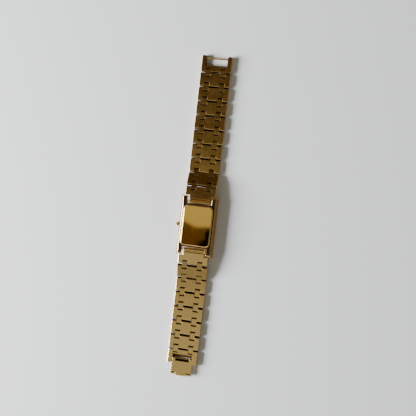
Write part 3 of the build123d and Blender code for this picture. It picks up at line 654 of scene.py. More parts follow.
def make_materials():
    """Every finish of the watch."""
    make_satin_gold()
    make_polished_gold()
    make_mirror_gold()
    # Gold-plated brass in the gaps, slots and grooves: brown and dull, with darker dirt in spots.
    # Its dark brown is partly tarnish and partly painted shade, for these places lie in shade.
    make_plain(
        "tarnish_and_shade_gold_plate", (0.5, 0.5, 0.5), 4.0, ("#160B07", "#3A241A"), (0.5, 0.36),
        0.01, 0.6, Metallic=0.85)
    # Gold-plated brass that rubs on its neighbour, as the sides of slots do, or on a sleeve:
    # a broad dull sheen and no sharp glints. Its darker brown colour is painted shade, standing in
    # for the shaded table and slots that these faces mirror.
    make_plain(
        "wear_and_shade_gold_plate", (0.15, 0.6, 0.15), 3.0, ("#6E5228", "#967444"), (0.42, 0.56), 0.006,
        Metallic=1.0)
    # Stainless steel, turned: grey, with fine rings round the part. Real turning marks are
    # about 0.02 mm apart and are drawn at 0.06 mm.
    make_plain(
        "turned_steel", (0.06, 40.0, 40.0), 1.0, ("#A9A9AC", "#C3C3C4"), (0.2, 0.34), 0.004,
        Metallic=1.0)
    # Nitrile rubber, moulded: black and dull with a faint bloom.
    make_plain("nitrile_rubber", (0.5, 0.5, 0.5), 3.0, ("#151515", "#2A2A29"), 0.62, 0.01)
    # Brass, turned and plain: yellow, with a fine bright grain.
    make_plain(
        "turned_brass", (0.1, 0.1, 0.5), 2.0, ("#C9A653", "#D9BB6E"), (0.2, 0.35), 0.004,
        Metallic=1.0)
    # Nickel-plated brass, straight-grained: pale warm grey with long lines.
    make_plain(
        "grained_nickel", (0.12, 8.0, 0.12), 2.0, ("#B5B1A6", "#CAC6BC"), (0.24, 0.4), 0.005,
        Metallic=1.0)
    # Acetal, moulded: milky grey with a fine spark-eroded grain.
    make_plain("moulded_acetal", (0.08, 0.08, 0.08), 2.0, ("#C2C2BD", "#D0D0CC"), 0.5, 0.008)
    # Stainless steel, deep drawn: bright grey with faint draw marks up the can.
    make_plain(
        "drawn_steel", (0.15, 0.15, 3.0), 2.0, ("#C4C4C6", "#D6D6D7"), (0.16, 0.3), 0.003,
        Metallic=1.0)
    # Soft iron, stamped and annealed: dull dark grey.
    make_plain(
        "stamped_iron", (0.3, 0.3, 0.3), 4.0, ("#77777A", "#939395"), (0.38, 0.55), 0.006,
        Metallic=1.0)
    # Samarium cobalt, sintered and ground: nearly black metal grain.
    make_plain(
        "sintered_magnet", (0.05, 0.05, 0.05), 2.0, ("#38383A", "#515153"), (0.4, 0.6), 0.006,
        Metallic=0.8)
    # Copper wire, enamelled: red-brown under a clear lacquer.
    make_plain(
        "enamelled_wire", (0.4, 0.4, 0.4), 2.0, ("#8E4322", "#B0592F"), (0.22, 0.32),
        Metallic=1.0, Coat_Weight=0.6)
    # Printing ink on the dial: flat black.
    make_plain("printed_ink", (0.1, 0.1, 0.1), 1.0, ("#0E0E10", "#1C1C1E"), 0.5)
    make_board_and_glass()
    make_dial_finish()


# Stage

# Half the tabletop's side, and the place of the soft light, in metres.
TABLETOP_HALF = 1.5
WINDOW_PLACE = (-0.87, -0.18, 0.4)
# What the camera looks at, and the width of its sensor, in millimetres.
LOOKED_AT = (4.3, 9.9, 2.0)
SENSOR_WIDTH = 36
# How strongly the tabletop's grain shows.
GRAIN_SHARE = 0.006


def laid_over(tree, ground, colour, *edges):
    """A colour laid over the ground inside soft edges, which multiply.

    An edge rises smoothly from 0, where its value is at the start, to 1, where it is at the
    end, or from the first to the second of two levels that follow.
    """
    where = 1.0
    for value, start, end, *between in edges:
        low, high = between or (0.0, 1.0)
        edge = add_node(tree, "ShaderNodeMapRange", {
            "Value": value, "From Min": start, "From Max": end, "To Min": low, "To Max": high,
        }, interpolation_type="SMOOTHSTEP")
        where = add_node(tree, "ShaderNodeMath", {0: where, 1: edge}, operation="MULTIPLY")
    return add_node(
        tree, "ShaderNodeMix", {0: where, 6: ground, 7: colour}, data_type="RGBA")


def make_room(scene, roll, seen):
    """The room as the gold sees it: a soft bright wall below the picture, warm dark above it.

    The back's middle mirrors the place seen, which is given along the picture's right and up.
    """
    scene.world = bpy.data.worlds.new("room")
    scene.world.use_nodes = True
    tree = scene.world.node_tree
    tree.nodes.clear()
    way = add_node(tree, "ShaderNodeTexCoord").outputs["Generated"]
    turned_way = add_node(tree, "ShaderNodeMapping", {"Vector": way, "Rotation": (0, 0, -roll)})
    right, up, high = add_node(tree, "ShaderNodeSeparateXYZ", {"Vector": turned_way}).outputs
    overhead = laid_over(
        tree, (0.058, 0.03, 0.003, 1), (0.62, 0.625, 0.54, 1),
        (up, -0.055, -0.125), (up, -0.14, -0.36, 1.0, 0.45))
    horizon = laid_over(tree, (0.22, 0.2, 0.18, 1), (0.62, 0.6, 0.57, 1), (up, 0.3, -0.3))
    horizon = laid_over(tree, horizon, (1.5, 1.45, 1.35, 1), (up, -0.7, -0.9))
    horizon = laid_over(tree, horizon, (0.09, 0.07, 0.045, 1), (right, 0.5, 0.8))
    room = laid_over(tree, overhead, horizon, (high, 0.6, 0.3))
    # What stands right above the watch, as its mirror-polished back picks it up: a bright
    # patch with a curved lower border, brown below it and a black arc at the lower right.
    sideways, endways = (
        add_node(tree, "ShaderNodeMath", {0: value, 1: middle}, operation="SUBTRACT")
        for value, middle in zip((right, up), seen))
    border = add_node(tree, "ShaderNodeMapRange", {
        "Value": sideways, "From Min": -0.019, "From Max": 0.002,
        "To Min": 0.0063, "To Max": -0.0017}, interpolation_type="SMOOTHSTEP")
    above = add_node(tree, "ShaderNodeMath", {0: endways, 1: border}, operation="SUBTRACT")
    place = add_node(tree, "ShaderNodeCombineXYZ", {"X": sideways, "Y": endways})
    # The arc's inner side is the rounded corner of a box, 0.0039 to the right of the place
    # seen and 0.0125 below it.
    from_corner = add_node(tree, "ShaderNodeVectorMath", {
        0: place, 1: (1, -1, 0), 2: (-0.0039, -0.0125, 0)}, operation="MULTIPLY_ADD")
    past_corner = add_node(
        tree, "ShaderNodeVectorMath", {0: from_corner, 1: (0, 0, 0)}, operation="MAXIMUM")
    reach = add_node(tree, "ShaderNodeVectorMath", {0: past_corner}, operation="LENGTH")
    overhead_only = (high, 0.8, 0.9)
    room = laid_over(
        tree, room, (0.61, 0.55, 0.27, 1), (above, -0.002, 0.002), (endways, 0.046, 0.037),
        (sideways, -0.23, -0.13), (sideways, 0.17, 0.07), overhead_only)
    room = laid_over(
        tree, room, (0.115, 0.063, 0.016, 1), (above, 0.002, -0.002),
        (endways, -0.058, -0.05), overhead_only)
    room = laid_over(
        tree, room, (0.002, 0.0015, 0.001, 1), (reach, 0.006, 0.0076),
        (endways, -0.001, -0.006), (endways, -0.053, -0.046), (sideways, -0.003, 0.004),
        (sideways, 0.04, 0.03), overhead_only)
    background = add_node(tree, "ShaderNodeBackground", {"Color": room})
    add_node(tree, "ShaderNodeOutputWorld", {"Surface": background})


class WATCH_OT_stage(bpy.types.Operator):
    """Make the tabletop, the camera and the light"""

    bl_idname = "watch.stage"
    bl_label = "Stage"

    def execute(self, context):
        scene = context.scene
        settings = scene.watch_stage
        mesh = bpy.data.meshes.new("tabletop")
        corners = [
            (x * TABLETOP_HALF, y * TABLETOP_HALF, 0)
            for x, y in ((-1, -1), (1, -1), (1, 1), (-1, 1))]
        mesh.from_pydata(corners, [], [range(4)])
        # Lacquered board: pale and matt, with a grain that hardly shows.
        tree = new_material("matt_lacquer")
        grain = levels(tree, (cloud(tree, (2.0, 2.0, 2.0), 4.0), 0.0, 1.0))
        tint = add_node(tree, "ShaderNodeMix", {
            0: GRAIN_SHARE, 6: (*settings.tabletop_colour, 1), 7: grain}, data_type="RGBA")
        end_material(tree, Base_Color=tint, Roughness=0.55)
        finish(mesh, "matt_lacquer")
        new_object("tabletop", mesh)

        roll, lean = settings.camera_roll, settings.camera_lean
        right = Vector((math.cos(roll), math.sin(roll), 0))
        up = Vector((-math.sin(roll), math.cos(roll), 0))
        back = math.sin(lean) * right + math.cos(lean) * Vector((0, 0, 1))
        side = up.cross(back).normalized()
        turn = Matrix((side, back.cross(side), back)).transposed().to_4x4()
        place = Vector(LOOKED_AT) * MM + settings.camera_distance * back
        lens = bpy.data.cameras.new("camera")
        lens.sensor_width = SENSOR_WIDTH
        lens.lens = SENSOR_WIDTH * settings.camera_distance / settings.picture_width
        lens.clip_start = 0.01
        scene.camera = new_object("camera", lens)
        scene.camera.matrix_world = Matrix.Translation(place) @ turn

        mirrored = Vector((0, 0, TOP)) - place
        mirrored.z *= -1
        mirrored.normalize()
        make_room(scene, roll, (mirrored.dot(right), mirrored.dot(up)))
        lamp = bpy.data.lights.new("window_light", "AREA")
        lamp.shape = "SQUARE"
        lamp.size = settings.window_size
        lamp.energy = settings.window_power
        lamp.color = linear_colour("#FBFDFF")
        window = new_object("window_light", lamp)
        window.location = WINDOW_PLACE
        window.rotation_euler = (-Vector(WINDOW_PLACE)).to_track_quat("-Z", "Y").to_euler()
        return {"FINISHED"}


# The roundings along the edges of the pieces that have no setting for it, in mm.
FRAME_EDGE, CONNECTOR_EDGE = 0.07, 0.05
PLATE_EDGE, LIP_EDGE = 0.06, 0.04
CRYSTAL_EDGE, DIAL_EDGE, HAND_EDGE = 0.06, 0.025, 0.03


# Bracelet

# How far from the clasp frames' outer ends their gaps end, in mm.
FRAME_END = 0.3


def in_millimetres(settings):
    """The bracelet's settings, which are all lengths, in millimetres."""
    names = WatchBraceletSettings.__annotations__
    return SimpleNamespace(**{name: getattr(settings, name) / MM for name in names})


def link_tree():
    """A wide link: a slab with keeled ends and a pair of slots at each end."""
    tree, given = new_tree("wide_link", {
        "Slab Size": VECTOR, "Keel": FLOAT, "Slot Size": VECTOR, "Slots Across": FLOAT,
        "Slots Along": FLOAT, "Middle": VECTOR, "Material": FINISH})
    slab = add_node(
        tree, "GeometryNodeMeshCube", {"Size": given["Slab Size"], "Vertices Z": 3})
    place = add_node(tree, "GeometryNodeInputPosition")
    parts = add_node(tree, "ShaderNodeSeparateXYZ", {"Vector": place}).outputs
    halfway = add_node(
        tree, "ShaderNodeMath", {0: parts["Z"], 1: 0.0, 2: 0.001}, operation="COMPARE")
    end = add_node(tree, "ShaderNodeMath", {0: parts["Y"]}, operation="SIGN")
    reach = add_node(tree, "ShaderNodeMath", {0: end, 1: given["Keel"]}, operation="MULTIPLY")
    outwards = add_node(tree, "ShaderNodeCombineXYZ", {"Y": reach})
    keeled = add_node(tree, "GeometryNodeSetPosition", {
        "Geometry": slab, "Selection": halfway, "Offset": outwards})
    slot = add_node(tree, "GeometryNodeMeshCube", {"Size": given["Slot Size"]})
    points = add_node(tree, "GeometryNodeMeshGrid", {
        "Size X": given["Slots Across"], "Size Y": given["Slots Along"], "Vertices X": 2,
        "Vertices Y": 2})
    slots = add_node(
        tree, "GeometryNodeInstanceOnPoints", {"Points": points, "Instance": slot})
    cutters = add_node(tree, "GeometryNodeRealizeInstances", {"Geometry": slots})
    cut = add_node(tree, "GeometryNodeMeshBoolean", {
        "Mesh 1": keeled, "Mesh 2": cutters}, operation="DIFFERENCE")
    # Only outward edges are rounded, so that the slots keep square corners for the connectors.
    bend = add_node(tree, "GeometryNodeInputMeshEdgeAngle").outputs["Signed Angle"]
    outward = add_node(
        tree, "ShaderNodeMath", {0: bend, 1: math.radians(60)}, operation="GREATER_THAN")
    marked = add_node(tree, "GeometryNodeStoreNamedAttribute", {
        "Geometry": cut, "Name": "bevel_weight_edge", "Value": outward,
    }, data_type="FLOAT", domain="EDGE")
    moved = add_node(
        tree, "GeometryNodeTransform", {"Geometry": marked, "Translation": given["Middle"]})
    return end_tree(tree, moved, given["Material"])


def pin_tree():
    """The pins of a piece: lengths across its slots, and their ends at its sides."""
    tree, given = new_tree("hinge_pins", {
        "Pin Radius": FLOAT, "Pin Length": FLOAT, "Pins Across": FLOAT, "End Radius": FLOAT,
        "End Length": FLOAT, "Ends Across": FLOAT, "Hinge Distance": FLOAT, "Hinges": WHOLE,
        "Middle": VECTOR, "Material": FINISH})
    groups = []
    for part in ("Pin", "End"):
        shape = add_node(tree, "GeometryNodeMeshCylinder", {
            "Vertices": 20, "Radius": given[part + " Radius"], "Depth": given[part + " Length"]})
        lying = add_node(tree, "GeometryNodeTransform", {
            "Geometry": shape, "Rotation": (0, math.radians(90), 0)})
        points = add_node(tree, "GeometryNodeMeshGrid", {
            "Size X": given[part + "s Across"], "Size Y": given["Hinge Distance"],
            "Vertices X": 2, "Vertices Y": given["Hinges"]})
        groups.append(add_node(
            tree, "GeometryNodeInstanceOnPoints", {"Points": points, "Instance": lying}))
    both = add_node(tree, "GeometryNodeJoinGeometry", {"Geometry": groups})
    moved = add_node(
        tree, "GeometryNodeTransform", {"Geometry": both, "Translation": given["Middle"]})
    return end_tree(tree, moved, given["Material"])


def grow_pins(piece, tree, size, distance=0.0, hinges=1):
    """The pins of a piece with one hinge, or with two at a distance in millimetres."""
    return grown(piece, tree, {
        "Pin Radius": size.pin_diameter / 2,
        "Pin Length": size.slot_width + size.pin_diameter,
        "Pins Across": 2 * size.slot_from_middle,
        "End Radius": 0.85 * size.pin_diameter / 2,
        "End Length": 2 * size.pin_end_height,
        "Ends Across": size.link_width,
        "Hinge Distance": distance,
        "Hinges": hinges,
        "Middle": (0, distance / 2, 0),
        "Material": MATERIALS["turned_steel"],
    })


class WATCH_OT_wide_links(bpy.types.Operator):
    """Make the wide links, with their slots and hinge pins"""

    bl_idname = "watch.wide_links"
    bl_label = "Wide Links"

    def execute(self, context):
        size = in_millimetres(context.scene.watch_bracelet)
        slab_length = size.link_length - 2 * size.link_keel
        slabs, pins = link_tree(), pin_tree()
        for piece in WIDE_LINKS:
            distance = hinge_distance(piece) / MM
            slab = grown(piece, slabs, {
                "Slab Size": (size.link_width, slab_length, size.link_thickness),
                "Keel": size.link_keel,
                "Slot Size": (size.slot_width, 2 * size.slot_depth, 2 * size.link_thickness),
                "Slots Across": 2 * size.slot_from_middle,
                "Slots Along": slab_length,
                "Middle": (0, distance / 2, 0),
                "Material": MATERIALS["satin_gold_plate"],
            }, size.link_edge, angle=None)
            finish_link(slab, size)
            mesh = join_meshes(piece, [slab, grow_pins(piece, pins, size, distance, 2)])
            add_piece(piece, mesh, piece, standing(piece))
        return {"FINISHED"}


def connector_tree():
    """A pair of connectors: a block with rounded ends, bored for both of its pins."""
    tree, given = new_tree("connector_pair", {
        "Length": FLOAT, "Thickness": FLOAT, "Width": FLOAT, "Wrist Rounding": FLOAT,
        "Face Rounding": FLOAT, "Bore Radius": FLOAT, "Outer Bore": VECTOR,
        "Inner Bore": VECTOR, "Corner": VECTOR, "Pair Across": FLOAT, "Material": FINISH})
    outline = add_node(tree, "GeometryNodeCurvePrimitiveQuadrilateral", {
        "Width": given["Length"], "Height": given["Thickness"]})
    place = add_node(tree, "GeometryNodeInputPosition")
    parts = add_node(tree, "ShaderNodeSeparateXYZ", {"Vector": place}).outputs
    on_wrist = add_node(
        tree, "ShaderNodeMath", {0: parts["Y"], 1: 0.0}, operation="GREATER_THAN")
    rounding = add_node(tree, "GeometryNodeSwitch", {
        "Switch": on_wrist, "False": given["Face Rounding"], "True": given["Wrist Rounding"],
    }, input_type="FLOAT")
    rounded = add_node(tree, "GeometryNodeFilletCurve", {
        "Curve": outline, "Radius": rounding, "Limit Radius": True, "Count": 5}, mode="POLY")
    ring = add_node(tree, "GeometryNodeCurvePrimitiveCircle", {
        "Resolution": 24, "Radius": given["Bore Radius"]})
    bores = [
        add_node(tree, "GeometryNodeTransform", {"Geometry": ring, "Translation": given[bore]})
        for bore in ("Outer Bore", "Inner Bore")]
    drawing = add_node(tree, "GeometryNodeJoinGeometry", {"Geometry": [rounded, *bores]})
    face = add_node(tree, "GeometryNodeFillCurve", {"Curve": drawing}, mode="NGONS")
    raised = add_node(tree, "GeometryNodeExtrudeMesh", {
        "Mesh": face, "Offset": (0, 0, 1), "Offset Scale": given["Width"], "Individual": False})
    under = add_node(tree, "GeometryNodeFlipFaces", {"Mesh": face})
    closed = add_node(tree, "GeometryNodeJoinGeometry", {"Geometry": [raised, under]})
    solid = add_node(
        tree, "GeometryNodeMergeByDistance", {"Geometry": closed, "Distance": 0.001})
    # The outline is drawn flat and then stood up, so that its length lies along the bracelet.
    upright = add_node(tree, "GeometryNodeTransform", {
        "Geometry": solid, "Rotation": (math.radians(90), 0, math.radians(90)),
        "Translation": given["Corner"]})
    points = add_node(tree, "GeometryNodeMeshGrid", {
        "Size X": given["Pair Across"], "Size Y": 0.0, "Vertices X": 2, "Vertices Y": 1})
    pair = add_node(
        tree, "GeometryNodeInstanceOnPoints", {"Points": points, "Instance": upright})
    return end_tree(tree, pair, given["Material"])


class WATCH_OT_connectors(bpy.types.Operator):
    """Make the pairs of small connectors between the links"""

    bl_idname = "watch.connectors"
    bl_label = "Connectors"

    def execute(self, context):
        size = in_millimetres(context.scene.watch_bracelet)
        tree = connector_tree()
        for piece in CONNECTORS:
            middle = hinge_distance(piece) / MM / 2
            mesh = grown(piece, tree, {
                "Length": size.connector_length,
                "Thickness": size.connector_thickness,
                "Width": size.connector_width,
                "Wrist Rounding": size.wrist_rounding,
                "Face Rounding": size.face_rounding,
                "Bore Radius": size.pin_diameter / 2 + size.bore_play,
                "Outer Bore": (middle, 0, 0),
                "Inner Bore": (-middle, 0, 0),
                "Corner": (-size.connector_width / 2, middle, 0),
                "Pair Across": 2 * size.slot_from_middle,
                "Material": MATERIALS["satin_gold_plate"],
            }, CONNECTOR_EDGE, 2)
            # Nothing but the flat top of a connector is reached by a cloth; the rest gets the
            # darker finishes, which paint the shade in the slots.
            finish_link(mesh, size, steepness=0.1)
            add_piece(piece, mesh, piece, standing(piece))
        return {"FINISHED"}


class WATCH_OT_end_links(bpy.types.Operator):
    """Make the two links that turn between the lugs"""

    bl_idname = "watch.end_links"
    bl_label = "End Links"

    def execute(self, context):
        size = in_millimetres(context.scene.watch_bracelet)
        pins = pin_tree()
        for piece in ("end_link_12", "end_link_6"):
            place = standing(piece)
            body = rounded_copy(piece, FRAME_EDGE, frame_of_piece=place)
            outer_hinge = hinge_distance(piece) / MM
            # The slots and the gap at the outer end get the darker finishes, which paint the shade
            # there.
            finish_link(body, size, low=outer_hinge - size.slot_depth)
            ends = grow_pins(piece, pins, size)
            ends.transform(Matrix.Translation((0, outer_hinge, 0)))
            mesh = join_meshes(piece, [body, ends])
            add_piece(piece, mesh, piece, place)
        return {"FINISHED"}


# The hook plate's details, in mm. Each corner of its outer end has a shallow groove beside the
# hooked tab, which is given by its middle and half width across the plate, and by its start and
# end along the bracelet from the pin.
GROOVE_MIDDLE, GROOVE_HALF = 4.2, 1.5
GROOVE_START, GROOVE_END = -7.75, -7.3
GROOVE_DEPTH = 0.18
# The plate's inner end is bent down and under its pin: the bend's outline, along the bracelet
# and upwards from the pin, and half its width.
LIP_OUTLINE = [
    (-1.37, 0.40), (-0.80, -0.45), (-0.30, -0.80), (0.25, -0.80), (0.25, -0.62),
    (-0.22, -0.62), (-0.64, -0.36), (-1.22, 0.50), (-1.37, 0.50)]
LIP_HALF = 3.6
# The bevel at the ends of the thin bars.
BAR_BEVEL = 0.1


def make_hook_plate():
    """The mesh of the hook plate, with its grooves and the lip under its pin."""
    side, top = (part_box("hook_plate")[1][axis] / MM for axis in (0, 2))
    pin = [(low + high) / 2 / MM for low, high in zip(*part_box("hook_pin"))]
    grooves = [
        block(
            (sign * GROOVE_MIDDLE - GROOVE_HALF, pin[1] + GROOVE_START, top - GROOVE_DEPTH),
            (sign * GROOVE_MIDDLE + GROOVE_HALF, pin[1] + GROOVE_END, top + 1))
        for sign in (-1, 1)]
    plate = rounded_copy("hook_plate", PLATE_EDGE, cuts=grooves)
    finish(plate, "satin_gold_plate", "polished_gold_plate", "tarnish_and_shade_gold_plate")
    for polygon in plate.polygons:
        x, y, z = polygon.center
        in_groove = (
            GROOVE_START - NEAR < y - pin[1] < GROOVE_END + NEAR
            and top - GROOVE_DEPTH - NEAR < z < top - 0.01)
        # Faces inside the corner grooves get the tarnish-and-shade finish, a painted shade in the
        # grooves.
        if in_groove and abs(x) < side - 0.02:
            polygon.material_index = TARNISH_AND_SHADE
        else:
            polygon.material_index = SATIN if abs(polygon.normal[2]) > LEVEL else POLISHED
    # The lip lies in the shade under the pin, and its tarnish-and-shade finish paints that shade
    # dark brown.
    outline = [(pin[1] + y, pin[2] + z) for y, z in LIP_OUTLINE]
    lip = bar_across("lip", outline, LIP_HALF, LIP_EDGE)
    finish(lip, "tarnish_and_shade_gold_plate")
    return join_meshes("hook_plate", [plate, lip])


class WATCH_OT_clasp(bpy.types.Operator):
    """Make the catch frame and its bar, and the hook frame with its pin and plate"""

    bl_idname = "watch.clasp"
    bl_label = "Clasp"

    def execute(self, context):
        size = in_millimetres(context.scene.watch_bracelet)
        pins = pin_tree()
        for piece in ("catch_frame", "hook_frame"):
            place = standing(piece)
            body = rounded_copy(piece, FRAME_EDGE, frame_of_piece=place)
            outer_end = max(vertex.co[1] for vertex in body.vertices)
            # The slots and gaps get the darker finishes, which paint the shade in them.
            finish_link(body, size, high=outer_end - FRAME_END)
            # The window's sloped inner end is a large face; it gets the worn finish, dull, and its
            # darker brown is painted shade.
            for polygon in body.polygons:
                along, upwards = polygon.normal[1:]
                if 0.5 < along < LENGTHWISE and upwards > 0.5 and polygon.area > 1:
                    polygon.material_index = WEAR_AND_SHADE
            mesh = join_meshes(piece, [body, grow_pins(piece, pins, size)])
            add_piece(piece, mesh, piece, place)
        add_piece("hook_plate", make_hook_plate(), "hook_plate")
        for node, body in (("catch_bar", "catch_frame"), ("hook_pin", "hook_frame")):
            low, high = (Vector(corner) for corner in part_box(node))
            half, radius = (high - low).xz / 2 / MM
            mesh = turned(node, [
                (-half, radius - BAR_BEVEL), (BAR_BEVEL - half, radius),
                (half - BAR_BEVEL, radius), (half, radius - BAR_BEVEL)])
            finish(mesh, "polished_gold_plate")
            place = Matrix.Translation((low + high) / 2) @ AS_DRAWN
            add_piece(node, mesh, body, place)
        return {"FINISHED"}


# Case

# The spring bars' shapes, in mm: how long their tips are, how far the tips' ends and the
# shoulders are drawn in, and where the ring groove in the barrel starts and ends.
TIP_LENGTH = 0.9
TIP_CHAMFER, SHOULDER_STEP = 0.08, 0.02
RING_START, RING_END = 0.22, 0.46


def make_spring_bar(half, radius):
    """A spring bar along X with a thin tip and a ring groove at each end."""
    tip, ring = 0.7 * radius, 0.8 * radius
    shoulder = half - TIP_LENGTH
    profile = [
        (half, tip - TIP_CHAMFER), (half - TIP_CHAMFER, tip), (shoulder + SHOULDER_STEP, tip),
        (shoulder, radius), (shoulder - RING_START, radius),
        (shoulder - RING_START - SHOULDER_STEP, ring),
        (shoulder - RING_END + SHOULDER_STEP, ring), (shoulder - RING_END, radius)]
    return turned("spring_bar", [(-along, size) for along, size in profile] + profile[::-1], 32)


class WATCH_OT_case(bpy.types.Operator):
    """Make the middle case with its lugs, the case back and the spring bars"""

    bl_idname = "watch.case"
    bl_label = "Case"

    def execute(self, context):
        settings = context.scene.watch_case
        body = rounded_copy("case_body", settings.case_edge / MM, angle=25)
        finish(body, "polished_gold_plate", "tarnish_and_shade_gold_plate", "wear_and_shade_gold_plate")
        back_plane = max(polygon.center[2] for polygon in body.polygons)
        for polygon in body.polygons:
            beside_back = abs(polygon.center[1]) < CASE_END / MM
            on_plane = polygon.normal[2] > LEVEL and polygon.center[2] > back_plane - NEAR
            # Dirt and painted shade darken the groove round the back. Sleeves rub the side slopes
            # dull, and their worn finish's darker brown is a painted reflection of the shaded table
            # beside the case.
            if on_plane and beside_back:
                polygon.material_index = 1
            elif polygon.normal[2] > 0.2 and abs(polygon.normal[0]) > 0.6:
                polygon.material_index = 2
        add_piece("case_body", body, "case")
        back = rounded_copy("case_back", settings.back_edge / MM, angle=25)
        finish(back, "mirror_gold_plate", "polished_gold_plate", "tarnish_and_shade_gold_plate")
        for polygon in back.polygons:
            # The level faces are the raised plate and, lower down, the flange round it, whose
            # tarnish-and-shade finish is tarnish and painted shade in the groove round the plate.
            polygon.material_index = 1
            if abs(polygon.normal[2]) > LEVEL:
                polygon.material_index = 2 if polygon.center[2] < TOP / MM - NEAR else 0
        add_piece("case_back", back, "case")
        low, high = (Vector(corner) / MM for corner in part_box("spring_bars"))
        half, radius = (high - low).xz / 2
        bars = []
        for end in (low.y + radius, high.y - radius):
            bar = make_spring_bar(half, radius)
            bar.transform(Matrix.Translation((0, end, (low.z + high.z) / 2)))
            finish(bar, "turned_steel")
            bars.append(bar)
        add_piece("spring_bars", join_meshes("spring_bars", bars), "case")
        return {"FINISHED"}


# The crown's bore for the stem, in mm.
BORE_RADIUS, BORE_DEPTH = 0.4, 0.92
# How much narrower the crown's outer face is drawn in, as a share of its radius.
DRAWN_IN = 0.2


def crown_tree():
    """The crown: a fluted barrel, drawn in at its outer face, with a bore for the stem."""
    tree, given = new_tree("fluted_crown", {
        "Radius": FLOAT, "Length": FLOAT, "Points Round": WHOLE, "Flutes": WHOLE,
        "Flute Share": FLOAT, "Drawn From": FLOAT, "Drawn To": FLOAT, "Bore Radius": FLOAT,
        "Bore Length": FLOAT, "Bore Place": VECTOR, "Material": FINISH})
    barrel = add_node(tree, "GeometryNodeMeshCylinder", {
        "Vertices": given["Points Round"], "Side Segments": 8, "Fill Segments": 2,
        "Radius": given["Radius"], "Depth": given["Length"]})
    place = add_node(tree, "GeometryNodeInputPosition")
    x, y, z = add_node(tree, "ShaderNodeSeparateXYZ", {"Vector": place}).outputs
    angle = add_node(tree, "ShaderNodeMath", {0: y, 1: x}, operation="ARCTAN2")
    turns = add_node(
        tree, "ShaderNodeMath", {0: angle, 1: given["Flutes"]}, operation="MULTIPLY")
    wave = add_node(tree, "ShaderNodeMath", {0: turns}, operation="COSINE")
    fluted = add_node(tree, "ShaderNodeMapRange", {
        "Value": wave, "From Min": 1.0, "From Max": -1.0, "To Min": 1.0,
        "To Max": given["Flute Share"]})
    # The outer part closes in smoothly and the flutes run out in it.
    outer = add_node(tree, "ShaderNodeMapRange", {
        "Value": z, "From Min": given["Drawn From"], "From Max": given["Drawn To"],
        "To Min": 0.0, "To Max": math.sqrt(DRAWN_IN)})
    drawn_in = add_node(tree, "ShaderNodeMath", {0: outer, 1: outer}, operation="MULTIPLY")
    share = add_node(
        tree, "ShaderNodeMath", {0: fluted, 1: drawn_in}, operation="SUBTRACT")
    scale = add_node(tree, "ShaderNodeCombineXYZ", {"X": share, "Y": share, "Z": 1.0})
    shaped = add_node(
        tree, "ShaderNodeVectorMath", {0: place, 1: scale}, operation="MULTIPLY")
    crown = add_node(
        tree, "GeometryNodeSetPosition", {"Geometry": barrel, "Position": shaped})
    drill = add_node(tree, "GeometryNodeMeshCylinder", {
        "Vertices": 24, "Radius": given["Bore Radius"], "Depth": given["Bore Length"]})
    at_stem = add_node(
        tree, "GeometryNodeTransform", {"Geometry": drill, "Translation": given["Bore Place"]})
    bored = add_node(tree, "GeometryNodeMeshBoolean", {
        "Mesh 1": crown, "Mesh 2": at_stem}, operation="DIFFERENCE")
    return end_tree(tree, bored, given["Material"])


class WATCH_OT_crown(bpy.types.Operator):
    """Make the fluted crown"""

    bl_idname = "watch.crown"
    bl_label = "Crown"

    def execute(self, context):
        settings = context.scene.watch_case
        depth = settings.flute_depth / MM
        length, width = CROWN[0] / MM, CROWN[1] / MM
        mesh = grown("crown", crown_tree(), {
            "Radius": width / 2,
            "Length": length,
            "Points Round": 8 * settings.crown_flutes,
            "Flutes": settings.crown_flutes,
            "Flute Share": 1 - depth / (width / 2),
            "Drawn From": 0.3 * length,
            "Drawn To": 0.5 * length,
            "Bore Radius": BORE_RADIUS,
            "Bore Length": 2 * BORE_DEPTH,
            "Bore Place": (0, 0, -length / 2),
            "Material": MATERIALS["polished_gold_plate"],
        })
        # The sideways faces of the ridges between the flutes get the tarnish-and-shade finish,
        # brown and dull, a painted dark reflection of the room.
        finish(mesh, "polished_gold_plate", "tarnish_and_shade_gold_plate")
        for polygon in mesh.polygons:
            on_ridge = polygon.center.xy.length >= width / 2 - 0.2 * depth
            sideways = abs(polygon.normal[2]) < 0.7
            polygon.material_index = 1 if on_ridge and sideways else 0
        low, high = (Vector(corner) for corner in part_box("crown"))
        turn = Matrix.Rotation(math.radians(-90), 4, "Y")
        place = Matrix.Translation((low + high) / 2) @ turn @ AS_DRAWN
        add_piece("crown", mesh, "stem", place, 50)
        return {"FINISHED"}


# Crystal, dial and hands

# The printed minute track, in mm: half its size across and along the dial, and its ticks'
# width, length and thickness.
TRACK_HALF_SIZE = (5.0, 7.7, 1.0)
TICK_SIZE = (0.1, 0.45, 0.02)
# How far the dial's face lies above its markers' tops, in mm.
MARKER_HEIGHT = 0.12


